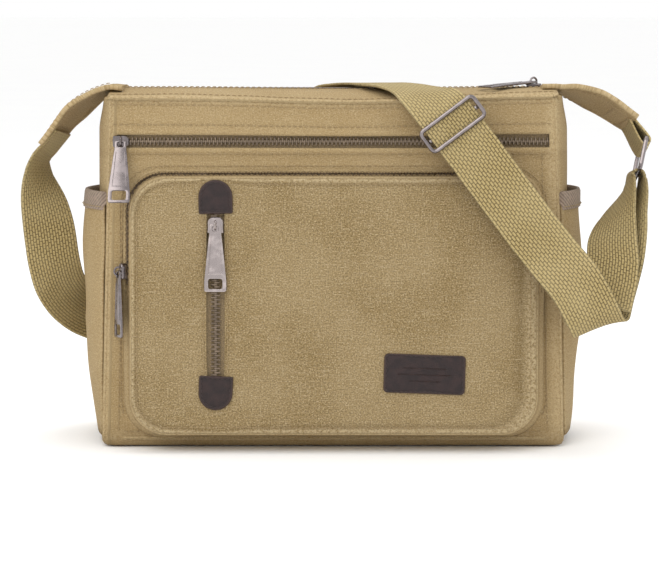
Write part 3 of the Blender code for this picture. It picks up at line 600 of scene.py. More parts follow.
def body_shell():
    build = Build()
    columns = shell_columns()
    base_rows = [(0.0004, 0.012), (0.0004, 0.006), (0.0012, 0.0018), (0.0036, 0.0003)]
    heights = [0.0065]
    while heights[-1] < 0.2040:
        heights.append(heights[-1] + 0.0058)
    heights = [z for z in heights if z < 0.2065]
    heights += [
        0.2090, 0.2103, 0.2125, ZIP_LOW, ZIP_HIGH, 0.2256, 0.2276, 0.2300, 0.2313, 0.2360, 0.2400, 0.2440,
        0.2470, 0.2490
    ]
    rows = []
    for z, inset in base_rows + [(z, 0.0) for z in heights]:
        row, along, last = [], 0.0, None
        for kind, share in columns:
            point = shell_point(kind, share, z, inset)
            along += (point - last).length if last else 0.0
            last = point
            edge = 1.0 if kind in ("fr", "fl", "br", "bl") else 0.0
            wear = max(
                0.5 * edge, smoothstep(0.2440, 0.2490, z), 1 - smoothstep(0.0, 0.004, abs(z - 0.0065))
            )
            # Painted shade: darker towards the foot of the bag and in a band under the fold below the front
            # zip.
            painted_shade = 0.55 * (1 - smoothstep(0.006, 0.016, z)) + 0.3 * (
                1 - smoothstep(0.0, 0.002, abs(z - 0.2100))
            )
            row.append(build.vert(point, (along, z), wear, painted_shade))
        row.append(row[0])
        rows.append(row)
    zip_row = len(base_rows) + heights.index(ZIP_LOW)

    def keep(i, j):
        kind, share = columns[j]
        x = rows[i][j].co.x
        return not (i == zip_row and kind == "front" and abs(x) < 0.1545)

    build.grid(rows, keep)
    cap = rows[0][:-1]
    build.face(cap[::-1], [(v.co.x, v.co.y) for v in cap[::-1]])
    nodes = ["front_panel", "front_yoke", "back_panel", "left_gusset", "right_gusset", "base_panel"]
    shell = piece("body_shell", build.bm, CANVAS, nodes)
    solidify(shell, SHELL)
    trim = Build()
    for side in (-1, 1):
        y = side * (HALF_DEPTH_TOP + 0.0004)
        line = [Vector((x, y, 0.2492 - top_sag(x))) for x in (k * 0.004 for k in range(-39, 40))]
        tube(trim, line, 0.0015)
        y = side * (HALF_DEPTH_LOW - 0.0002)
        tube(trim, [Vector((x, y, 0.0066)) for x in (k * 0.004 for k in range(-38, 39))], 0.0014)
    for side in (-1, 1):
        line = []
        for k in range(31):
            z = 0.008 + k * 0.008
            line.append(Vector((side * (half_width(z) - 0.0022), -half_depth(z) + 0.0022, z)))
        tube(trim, line, 0.0011)
        line = [Vector((p.x, -p.y, p.z)) for p in line]
        tube(trim, line, 0.0011)
    piece("seam_ridges", trim.bm, CANVAS)
    cap = Build()
    for kind, side in (("right", 1), ("left", -1)):
        rows = []
        for inward, rise in (
            (0.0, -0.0008), (0.0006, 0.0006), (0.0035, 0.0019), (0.009, 0.0022), (0.016, 0.0022)
        ):
            row = []
            for k in range(25):
                point = shell_point(kind, lerp(0.0, 1.0, k / 24), 0.2488)
                point.y *= 1.07
                row.append(cap.vert(point + Vector((-side * inward, 0, rise)), (point.y, inward), 0.3))
            rows.append(row)
        cap.grid(rows)
    solidify(piece("top_corners", cap.bm, CANVAS), 0.0012, -1)

    def on_front(x, z, lift=0.0002):
        return Vector(
            (x, -half_depth(z) - front_out(x, z) - lift, z - top_sag(x) * smoothstep(0.205, 0.249, z))
        )

    for z, start, end in (
        (0.2102, -0.156, 0.156), (0.2308, -0.156, 0.156), (0.2448, -0.158, 0.156), (0.0115, -0.15, 0.15)
    ):
        line = [on_front(lerp(start, end, k / 80), z) for k in range(81)]
        stitches(line, (0, -1, 0.04))
    for side in (-1, 1):
        line = [on_front(side * (half_width(z) - 0.0125), z) for z in (0.012 + k * 0.006 for k in range(34))]
        stitches(line, (0, -1, 0.04))
    for kind, side in (("right", 1), ("left", -1)):
        line = [shell_point(kind, k / 20, 0.0460) + Vector((side * 0.0003, 0, 0)) for k in range(21)]
        stitches(line, (side, 0, 0))


def top_strips():
    for label, side in (("front", -1), ("back", 1)):
        build = Build()
        rows = []
        profile = [
            (0.0455, 0.2496), (0.0440, 0.2511), (0.0400, 0.2520), (0.0300, 0.2532), (0.0200, 0.2543),
            (0.0120, 0.2551)
        ]
        profile += [(0.0078, 0.2555), (0.0058, 0.2556), (0.0051, 0.2550), (0.0051, 0.2543)]
        for k, (y, z) in enumerate(profile):
            row = []
            for j in range(81):
                x = lerp(-0.1600, 0.1600, j / 80)
                sag = top_sag(x) * smoothstep(0.008, 0.042, y) + top_sag(x) * 0.35
                wave = ripple((x, side * y, 3.0), 22, 0.0009) * smoothstep(0.006, 0.02, y)
                wear = 0.8 if k in (0, 1, 7, 8) else 0.0
                # Rows 5 and 9, beside the main zip, get painted shade.
                row.append(
                    build.vert((x, side * y, z - sag + wave), (x, y), wear, 0.25 if k in (5, 9) else 0.0)
                )
            rows.append(row)
        build.grid(rows)
        strip = piece(f"top_{label}", build.bm, CANVAS, [f"top_{label}_strip"])
        solidify(strip, 0.0014)
        for y in (0.0088, 0.0405):
            line = []
            for j in range(61):
                x = lerp(-0.158, 0.158, j / 60)
                base = 0.25545 if y < 0.02 else 0.2520
                sag = top_sag(x) * smoothstep(0.008, 0.042, y) + top_sag(x) * 0.35
                wave = ripple((x, side * y, 3.0), 22, 0.0009) * smoothstep(0.006, 0.02, y)
                line.append(Vector((x, side * y, base - sag + wave + 0.0002)))
            stitches(line, (0, 0, 1))


def side_pockets():
    for label, side in (("left", -1), ("right", 1)):
        def out(y, z, a):
            bulge = 0.0075 + 0.0115 * min(1.0, (z - 0.009) / 0.173 * 2.2)
            slump = 0.0012 * math.sin(z * 60 + side) * (1 - a * a)
            return half_width(z) - 0.0001 + bulge * (1 - (0.96 * a) ** 2) + slump + ripple(
                (side, y, z), 25, 0.0010, 4
            )

        build = Build()
        rows = []
        for i in range(25):
            z = lerp(0.008, 0.182, i / 24)
            row = []
            for j in range(27):
                a = lerp(-1, 1, j / 26)
                y = a * 0.96 * (half_depth(z) - 0.003)
                # The pocket's lowest row gets painted shade; its side edges get wear.
                wear, painted_shade = 0.6 if j in (0, 26) else 0.0, 0.5 if i == 0 else 0.0
                row.append(build.vert((side * out(y, z, a), y, z), (y, z), wear, painted_shade))
            rows.append(row)
        build.grid(rows)
        pocket = piece(f"{label}_slip_pocket", build.bm, CANVAS, [f"{label}_side_pocket"])
        solidify(pocket, 0.0014)
        build = Build()
        loop = [
            (0.0003, 0.1695), (0.0012, 0.1700), (0.0013, 0.1810), (0.0006, 0.1826), (-0.0012, 0.1828),
            (-0.0024, 0.1812), (-0.0026, 0.1735), (-0.0012, 0.1735)
        ]
        rings = []
        for j in range(31):
            a = lerp(-1, 1, j / 30)
            ring = []
            for lift, z in loop:
                y = a * 0.96 * (half_depth(z) - 0.003)
                x = out(y, min(z, 0.182), a) + lift + 0.0003 + ripple((side, y, z), 60, 0.0003)
                ring.append(build.vert((side * x, y, z), (y, z + lift), 0.3))
            rings.append(ring)
        for first, second in zip(rings, rings[1:]):
            for k in range(len(loop)):
                build.face((first[k], first[(k + 1) % 8], second[(k + 1) % 8], second[k]))
        build.face(rings[0][::-1])
        build.face(rings[-1])
        piece(f"{label}_binding", build.bm, TWILL, [f"{label}_pocket_binding"])
        line = []
        for j in range(31):
            a = lerp(-1, 1, j / 30)
            y = a * 0.96 * (half_depth(0.172) - 0.003)
            line.append(Vector((side * (out(y, 0.172, a) + 0.0018), y, 0.172)))
        stitches(line, (side, 0, 0))


# ---------------------------------------------------------------- the raised front pocket
def face_out(x, z):
    """How far the pocket's face stands off its plane: a soft crown that dies away at its edges and zip."""
    u = clamp01(1 - ((x - POCKET_CENTRE[0]) / (POCKET_FACE[0] / 2)) ** 4)
    v = clamp01(1 - ((z - POCKET_CENTRE[1]) / (POCKET_FACE[1] / 2)) ** 4)
    beside = max(abs(x - FACE_ZIP_X) - 0.012, abs(z - 0.111) - 0.084)
    calm = smoothstep(0.0, 0.035, beside)
    crown = 0.0034 * (u * v) ** 0.8 * calm
    rough = ripple((x, 0, z), 13, 0.0009) + ripple((x, 3, z), 38, 0.0005)
    return crown + rough * calm * (u * v) ** 0.5


def on_face(x, z, lift=0.0):
    return FACE @ Vector((x, -face_out(x, z) - lift, z))


def wall_point(foot, head, share, outset):
    low = FRONT @ Vector((foot.x, -0.0003, foot.y))
    high = FACE @ Vector((head.x, 0.0020, head.y))
    middle = FRONT @ Vector((POCKET_CENTRE[0], 0, POCKET_CENTRE[1]))
    point = low.lerp(high, share)
    away = Vector((point.x - middle.x, 0, point.z - middle.z))
    past_x = max(0, abs(away.x) - 0.12) * (1 if away.x > 0 else -1)
    past_z = max(0, abs(away.z) - 0.066) * (1 if away.z > 0 else -1)
    corner = Vector((past_x, 0, past_z))
    return point + (corner.normalized() if corner.length > 1e-6 else away.normalized()) * outset


def front_pocket():
    side = 0.0045
    feet = rounded(*POCKET_FOOT, POCKET_CENTRE, 8, side)
    heads = [
        Vector((
            POCKET_CENTRE[0] + (p.x - POCKET_CENTRE[0]) * POCKET_FACE[0] / POCKET_FOOT[0],
            POCKET_CENTRE[1] + (p.y - POCKET_CENTRE[1]) * POCKET_FACE[1] / POCKET_FOOT[1],
        ))
        for p in feet
    ]
    build = Build()
    rows = []
    wall = [
        (0.0, 0.0014), (0.06, 0.0010), (0.14, 0.0002), (0.30, 0.0), (0.33, -0.0006), (0.57, -0.0006),
        (0.60, 0.0), (0.80, 0.0003), (0.95, 0.0003)
    ]
    for k, (share, outset) in enumerate(wall):
        row, along = [], 0.0
        for i, (foot, head) in enumerate(zip(feet, heads)):
            fold = ripple((foot.x * 2, share, foot.y * 2), 9, 0.0006) * math.sin(math.pi * share)
            point = wall_point(foot, head, share, outset + fold)
            # Painted shade at the wall's foot and in the zip channel (rows 0, 4 and 5), a little everywhere
            # else.
            row.append(build.vert(point, (along, share * 0.02), 0.3, 0.5 if k in (0, 4, 5) else 0.1))
            along += (feet[(i + 1) % len(feet)] - foot).length
        rows.append(row + [row[0]])
    build.grid(rows)
    pocket = piece("pocket_side", build.bm, CANVAS, ["pocket_wall"])
    solidify(pocket, 0.0014)

    build = Build()
    rows = []
    low, high = WINDOW[1], WINDOW[2]
    cx, cz = FACE_ZIP_X, (low + high) / 2
    half_x, half_z = WINDOW[0] / 2, (high - low) / 2
    window = []
    for head in heads:
        ray = Vector((head.x - cx, head.y - cz))
        reach = min(half_x / abs(ray.x) if ray.x else 9e9, half_z / abs(ray.y) if ray.y else 9e9)
        window.append(Vector((cx + ray.x * reach, cz + ray.y * reach)))
    rings = [(0.0, 0.0022), (0.0, 0.0006)]
    for head_y in rings:
        # The rolled edge gets wear and a little painted shade.
        rows.append([build.vert(FACE @ Vector((h.x, head_y[1], h.y)), (h.x, h.y), 0.9, 0.1) for h in heads])
    spans = [
        0.010, 0.022, 0.05, 0.09, 0.14, 0.20, 0.27, 0.34, 0.42, 0.50, 0.58, 0.66, 0.74, 0.81, 0.87, 0.92,
        0.955, 0.98, 1.0
    ]
    for t in spans:
        row = []
        for head, edge in zip(heads, window):
            x, z = lerp(head.x, edge.x, t), lerp(head.y, edge.y, t)
            lip = 0.0006 * (t > 0.94)
            # Painted shade on the row just inside the edge and on the row at the zip window.
            row.append(
                build.vert(on_face(x, z, lip), (x, z), 0.8 * (t < 0.03), 0.35 if t in (0.05, 1.0) else 0.0)
            )
        rows.append(row)
    # Painted shade round the zip window's recessed edge.
    rows.append([build.vert(FACE @ Vector((w.x, 0.0012, w.y)), (w.x, w.y), 0, 0.6) for w in window])
    build.grid([row + [row[0]] for row in rows])
    face = piece("pocket_front", build.bm, CANVAS_FACE, ["pocket_face"])
    solidify(face, 0.0013)

    build = Build()
    path = [
        FACE @ Vector(
            (h.x + (h.x - POCKET_CENTRE[0]) * 0.001, 0.0023, h.y + (h.y - POCKET_CENTRE[1]) * 0.001)
        )
        for h in heads
    ]
    tube(build, path, 0.0012, closed=True, sides=10)
    piece("pocket_edge", build.bm, CANVAS, ["pocket_piping"])
    inner = rounded(
        POCKET_FACE[0] - 0.008, POCKET_FACE[1] - 0.008, POCKET_FACE[2] - 0.004, POCKET_CENTRE, 6, 0.004
    )
    stitches([on_face(p.x, p.y, 0.0002) for p in inner], (0, -1, 0.1), closed=True)
    for sign in (-1, 1):
        x = FACE_ZIP_X + sign * (WINDOW[0] / 2 + 0.0022)
        stitches([on_face(x, lerp(0.056, 0.168, k / 30), 0.0008) for k in range(31)], (0, -1, 0.1))
    outer = rounded(
        POCKET_FOOT[0] + 0.006, POCKET_FOOT[1] + 0.006, POCKET_FOOT[2] + 0.003, POCKET_CENTRE, 6, 0.004
    )
    stitches(
        [Vector((p.x, -half_depth(p.y) - front_out(p.x, p.y) - 0.0002, p.y)) for p in outer if p.y > 0.02],
        (0, -1, 0.04)
    )
    for share, outset in ((0.22, 0.0004), (0.70, 0.0006)):
        line = [wall_point(f, h, share, outset) for f, h in zip(feet, heads) if f.y > POCKET_ZIP_END - 0.01]
        order = sorted(line, key=lambda p: math.atan2(p.x, p.z - 0.1))
        stitches(order, lambda p: Vector((p.x * 0.5, -0.02, p.z - 0.1)).normalized())
    chain = [wall_point(f, h, 0.45, -0.0006) for f, h in zip(feet, heads)]
    chain = sorted((p for p in chain if p.z > POCKET_ZIP_END), key=lambda p: math.atan2(p.x, p.z - 0.1))

    def away(point):
        dx = max(0, abs(point.x) - 0.12) * (1 if point.x > 0 else -1)
        return Vector((dx, -0.25 * (abs(dx) + max(0, point.z - 0.17)), max(0, point.z - 0.17))).normalized()

    teeth("pocket_teeth", chain, away, 0.0024, 0.0011, "pocket_zip_chain", 0.0016)


def leather():
    radius = 0.012
    for name, z0, up in (("upper_zip_tab", TAB_CENTRES[0], 1), ("lower_zip_tab", TAB_CENTRES[1], -1)):
        outline = []
        for k in range(25):
            angle = math.pi * k / 24
            outline.append(Vector((radius * math.cos(angle), up * radius * math.sin(angle))))
        outline += [Vector((-radius, -up * radius * t)) for t in (0.25, 0.5, 0.75, 0.93)]
        outline += [
            Vector((lerp(-radius + 0.0008, radius - 0.0008, t), -up * radius))
            for t in (0, 0.12, 0.25, 0.37, 0.5, 0.62, 0.75, 0.88, 1)
        ]
        outline += [Vector((radius, -up * radius * t)) for t in (0.93, 0.75, 0.5, 0.25)]
        lean = -0.045 if up < 0 else 0.02
        pad(name, outline, (FACE_ZIP_X, z0), lean, 0.0017, 0.0021, up)
    outline = rounded(0.0575, 0.0276, 0.0030, (0, 0), 5, 0.0022)
    pad("label", outline, (0.0645, 0.0555), math.radians(-2), 0.0015, 0.0018, 0)
    build = Build()
    middle = Vector((0.0645, 0.0555))
    for k, (low, high, v) in enumerate(
        ((-0.015, 0.015, 0.004), (-0.019, 0.019, -0.0005), (-0.011, 0.011, -0.005))
    ):
        path = []
        for j in range(13):
            u = lerp(low, high, j / 12)
            x, z = middle.x + u + v * 0.035, middle.y + v - u * 0.035
            path.append(on_face(x, z, 0.00158))
        tube(build, path, 0.00042, sides=6, squash=0.6)
    piece("label_tooling", build.bm, LEATHER)


def pad(name, outline, centre, turn, thickness, inset, up):
    """A leather patch with rounded, slightly pulled-in edges and a line of stitching inside them."""
    build = Build()
    cosine, sine = math.cos(turn), math.sin(turn)

    def place(u, v, lift):
        x, z = centre[0] + u * cosine - v * sine, centre[1] + u * sine + v * cosine
        return on_face(x, z, lift)

    rows = []
    middle = sum(outline, Vector((0, 0))) / len(outline)
    for shrink, lift, wear in (
        (0.0, 0.0001, 0.5), (0.0, thickness * 0.7, 1.0), (0.0005, thickness, 0.8), (
            0.0014, thickness * 1.05, 0.2
        ),
        (inset, thickness * 0.86, 0.0), (
            inset + 0.0008, thickness * 0.98, 0.0
        ), (0.0045, thickness * 1.05, 0.0),
        (0.0075, thickness * 1.05, 0.0),
    ):
        row = []
        for p in outline:
            ray = p - middle
            at = middle + ray * max(0.0, 1 - shrink / max(1e-6, min(ray.length, 0.5)))
            row.append(build.vert(place(at.x, at.y, lift), (at.x, at.y), wear))
        rows.append(row + [row[0]])
    build.grid(rows)
    hub = build.vert(place(middle.x, middle.y, thickness * 1.05), (middle.x, middle.y))
    last = rows[-1]
    for a, b in zip(last, last[1:]):
        build.face((a, b, hub))
    first = rows[0][:-1]
    build.face(first[::-1])
    piece(name + "_leather", build.bm, LEATHER, [name], smooth_angle=60)
    line = []
    for p in outline:
        ray = p - middle
        at = middle + ray * (1 - inset / ray.length)
        line.append(place(at.x, at.y, thickness * 0.95))
    stitches(line, (0, -1, 0.1), 0.0022, 0.0012, 0.00024, DARK_STITCHES, closed=True)


DARK_STITCHES = Build()


# ---------------------------------------------------------------- zips
def zip_rows():
    teeth(
        "main_teeth", [Vector((x, 0, MAIN_ZIP_Z)) for x in (-0.1535, 0.1535)], (0, 0, 1), 0.0027, 0.0014,
        "main_zip_chain"
    )
    line = [FRONT @ Vector((x, 0.0025, 0.219)) for x in (-0.1565, 0.1565)]
    teeth("front_teeth", line, (0, -1, 0.04), 0.0027, 0.0014, "front_zip_chain")
    line = [FACE @ Vector((FACE_ZIP_X, 0.0025, z)) for z in (0.0488, 0.1732)]
    teeth("face_teeth", line, (0, -1, 0.11), 0.0033, 0.0015, "face_zip_chain")


SLIDER_TOP = 0.0046
PIN_HEIGHT = SLIDER_TOP + 0.0012
PULL_LENGTH = 0.047
BAIL_RADIUS = 0.003


def frame_of(origin, travel, outward):
    x, z = Vector(travel).normalized(), Vector(outward).normalized()
    return Matrix.Translation(origin) @ Matrix((x, z.cross(x), z)).transposed().to_4x4()


def plate(name, outlines, thickness, matrix, material, body, replaced, bevel=0.00032):
    """A flat metal piece with rounded edges, cut from closed outlines."""
    curve = bpy.data.curves.new(name + "_outline", "CURVE")
    curve.dimensions = "2D"
    curve.fill_mode = "BOTH"
    curve.extrude = thickness / 2 - bevel
    curve.bevel_depth = bevel
    curve.bevel_resolution = 2
    curve.offset = -bevel
    for outline in outlines:
        spline = curve.splines.new("POLY")
        spline.points.add(len(outline) - 1)
        for point, (x, y) in zip(spline.points, outline):
            point.co = (x, y, 0.0, 1.0)
        spline.use_cyclic_u = True
    temporary = bpy.data.objects.new(name + "_curve", curve)
    bpy.context.scene.collection.objects.link(temporary)
    bpy.context.view_layer.update()
    evaluated = temporary.evaluated_get(bpy.context.evaluated_depsgraph_get())
    bm = bmesh.new()
    bm.from_mesh(bpy.data.meshes.new_from_object(evaluated))
    bpy.data.objects.remove(temporary)
    bmesh.ops.remove_doubles(bm, verts=bm.verts, dist=1e-6)
    bmesh.ops.transform(bm, matrix=matrix, verts=bm.verts)
    return piece(name, bm, material, replaced, body, 35)


def fillet(points, radius, steps=3):
    """The closed outline with every corner rounded."""
    made = []
    count = len(points)
    for i in range(count):
        before, here, after = Vector(points[i - 1]), Vector(points[i]), Vector(points[(i + 1) % count])
        a, b = (before - here), (after - here)
        reach = min(radius, a.length * 0.45, b.length * 0.45)
        start, end = here + a.normalized() * reach, here + b.normalized() * reach
        for k in range(steps + 1):
            t = k / steps
            made.append(start * (1 - t) ** 2 + here * 2 * t * (1 - t) + end * t * t)
    return made


def pull_and_slider(prefix, frame_matrix, width, towards, lean, bright):
    """The visible slider and pull, shaped on the model's own."""
    # The face zip's slider and pull take the lighter, painted-highlight copy of the gunmetal.
    material = BRIGHT if bright else GUNMETAL
    nose = 0.0057
    outline = [
        (-nose, -width / 2), (-nose * 0.2, -width / 2 * 0.96), (nose * 0.55, -width / 2),
        (nose, -width / 2 * 0.62)
    ]
    outline += [(x, -y) for x, y in reversed(outline)]
    bm_parts = Build()
    ring = fillet(outline, 0.0016, 4)
    rows = []
    for shrink, z in (
        (1.0, 0.0004), (1.0, 0.0024), (0.86, 0.0026), (0.86, 0.0031), (1.0, 0.0033), (1.0, 0.0040),
        (0.93, 0.0045), (0.8, 0.0046)
    ):
        spots = [frame_matrix @ Vector((p.x * shrink, p.y * shrink, z)) for p in ring]
        rows.append([bm_parts.vert(spot, (p.x, p.y), 0.5) for spot, p in zip(spots, ring)])
    bm_parts.grid([row + [row[0]] for row in rows])
    bm_parts.face(rows[-1])
    bm_parts.face(rows[0][::-1])
    along = Vector((towards[0], towards[1], 0)).normalized()
    arch = [along * BAIL_RADIUS + Vector((0, 0, SLIDER_TOP - 0.0008))]
    for step in range(17):
        angle = math.pi * step / 16
        rise = Vector((0, 0, PIN_HEIGHT + BAIL_RADIUS * math.sin(angle)))
        arch.append(along * BAIL_RADIUS * math.cos(angle) + rise)
    arch.append(-along * BAIL_RADIUS + Vector((0, 0, SLIDER_TOP - 0.0008)))
    tube(bm_parts, [frame_matrix @ p for p in arch], 0.00075, sides=10)
    piece(
        f"{prefix}_slider_shape", bm_parts.bm, material, [f"{prefix}_slider"], f"{prefix}_slider",
        35
    )

    pin, neck, low, thickness = 0.00065, 0.0042, 0.0078, 0.0013
    half = [(neck, pin), (neck, -0.0060), (0.0050, -0.012), (low, -PULL_LENGTH + 0.008), (low, -PULL_LENGTH)]
    outline = fillet(half + [(-x, y) for x, y in reversed(half)], 0.0016)
    eye = rounded(0.0044, BAIL_RADIUS + 0.00135 - pin, 0.001, (0, -0.0025), 3)
    slot = rounded(0.0100, 0.0072, 0.0015, (0, -PULL_LENGTH + 0.0056), 4)
    down = Vector((towards[0], towards[1], 0)).normalized()
    out = Vector((0, 0, 1))
    axes = Matrix(((-down).cross(out), -down, out)).transposed().to_4x4()
    place = frame_matrix @ Matrix.Translation((0, 0, PIN_HEIGHT)) @ axes @ Matrix.Rotation(-lean, 4, "X")
    plate(
        f"{prefix}_pull_shape", [outline, eye, slot], thickness, place, material, f"{prefix}_pull",
        [f"{prefix}_pull"]
    )
    build = Build()
    for sign in (-1, 1):
        for face_side in (-1, 1):
            path = [(sign * 0.0030, -0.0085), (sign * 0.0050, -PULL_LENGTH + 0.0125)]
            tube(build, [place @ Vector((x, y, face_side * 0.00066)) for x, y in path], 0.00028, sides=6)
        for face_side in (-1, 1):
            path = [(sign * 0.0050, -PULL_LENGTH + 0.0125), (-sign * 0.0, -PULL_LENGTH + 0.0125)]
            tube(build, [place @ Vector((x, y, face_side * 0.00066)) for x, y in path], 0.00028, sides=6)
    piece(f"{prefix}_pull_rim", build.bm, material, (), f"{prefix}_pull")


def pulls():
    joints = {j["name"]: j for j in frame["record"]["behaviour"]["joints"]}

    def slider_frame(prefix, travel, outward):
        pin = Vector(joints[f"{prefix}_pull_swing"]["pos_m"])
        outward = Vector(outward).normalized()
        return frame_of(pin - outward * PIN_HEIGHT, travel, outward)

    face_out_axis = FACE.to_3x3() @ Vector((0, -1, 0))
    front_out_axis = FRONT.to_3x3() @ Vector((0, -1, 0))
    travel = Vector(joints["pocket_zip_slide"]["axis"])
    lift = Vector(joints["pocket_zip_pull_swing"]["axis"])
    pocket_out = travel.cross(lift)
    if pocket_out.x > 0:
        pocket_out = -pocket_out
    pull_and_slider(
        "main_zip", slider_frame("main_zip", (1, 0, 0), (0, 0, 1)), 0.0084, (-0.80, -0.60), -0.06, False
    )
    pull_and_slider(
        "front_zip", slider_frame("front_zip", (1, 0, 0), front_out_axis), 0.0084, (0, -1), math.radians(25),
        False
    )
    face_travel = FACE.to_3x3() @ Vector((0, 0, 1))
    # The face zip gets the painted-highlight gunmetal.
    pull_and_slider(
        "face_zip", slider_frame("face_zip", face_travel, face_out_axis), 0.0115, (-1, 0), 0.0, True
    )
    pull_and_slider(
        "pocket_zip", slider_frame("pocket_zip", travel, pocket_out), 0.0076, (-1, 0), 0.0, False
    )


# ---------------------------------------------------------------- webbing, ears and loop
def carried(stations, step):
    """(middle, tangent, across, normal, width) along the smooth path through the stations."""
    rows = smooth_path([s[0] for s in stations], step)
    marks = [min(range(len(rows)), key=lambda i, s=s: (rows[i] - Vector(s[0])).length) for s in stations]
    frames = []
    for i, middle in enumerate(rows):
        tangent = (rows[min(i + 1, len(rows) - 1)] - rows[max(i - 1, 0)]).normalized()
        k = min(max(j for j, mark in enumerate(marks) if mark <= i), len(marks) - 2)
        share = (i - marks[k]) / max(1, marks[k + 1] - marks[k])
        across = Vector(stations[k][1]).normalized().lerp(Vector(stations[k + 1][1]).normalized(), share)
        frames.append([middle, tangent, across])
    for _ in range(3):
        turned = [f[2] for f in frames]
        for i in range(1, len(frames) - 1):
            frames[i][2] = (turned[i - 1] + turned[i] * 2 + turned[i + 1]) / 4
    made = []
    widths = [s[2] if len(s) > 2 else WEBBING_WIDTH for s in stations]
    for i, (middle, tangent, across) in enumerate(frames):
        k = min(max(j for j, mark in enumerate(marks) if mark <= i), len(marks) - 2)
        share = (i - marks[k]) / max(1, marks[k + 1] - marks[k])
        across = (across - tangent * across.dot(tangent)).normalized()
        made.append((middle, tangent, across, tangent.cross(across), lerp(widths[k], widths[k + 1], share)))
    return made


def band_piece(
    name, frames, thickness, material, replaced, body="bag", folded=0.0, cup=0.0,
    rough=0.0005, seed=0.0
):
    """A length of webbing or folded canvas with full, rounded edges."""
    build = Build()
    profile = []
    spots = [-1, -0.97, -0.9, -0.7, -0.45, -0.2, 0, 0.2, 0.45, 0.7, 0.9, 0.97, 1]
    for t in spots:
        full = 1.0 if abs(t) < 0.95 else (0.86 if abs(t) < 0.99 else 0.45)
        profile.append((t, full))
    rings, along, last = [], 0.0, None
    for middle, _, across, normal, width in frames:
        along += (middle - last).length if last else 0.0
        last = middle
        top, under = [], []
        wobble = ripple((along, seed, 0), 55, 0.0004)
        for t, full in profile:
            edge = folded * smoothstep(0.72, 0.86, abs(t))
            lift = cup * (t * t - 0.4) + ripple((along, t * 0.02 + seed, 2), 45, rough)
            at = middle + across * (width / 2 * t + wobble) + normal * lift
            thick = thickness * (full + edge)
            wear = 0.7 if abs(t) > 0.93 else 0.0
            top.append(build.vert(at + normal * thick / 2, (t * width / 2, along), wear))
            under.append(build.vert(at - normal * thick / 2, (t * width / 2, along), wear))
        rings.append(top + under[::-1])
    count = len(rings[0])
    for first, second in zip(rings, rings[1:]):
        for k in range(count):
            build.face((first[k], first[(k + 1) % count], second[(k + 1) % count], second[k]))
    build.face(rings[0][::-1])
    build.face(rings[-1])
    return piece(name, build.bm, material, replaced, body, 60)


def run_frame():
    across = Vector((0.8, 0, 0.6))
    across = (across - RUN_DIRECTION * across.dot(RUN_DIRECTION)).normalized()
    normal = RUN_DIRECTION.cross(across).normalized()
    return RUN_DIRECTION, across, normal if normal.y < 0 else -normal


def on_run(distance):
    return RUN_START + RUN_DIRECTION * distance


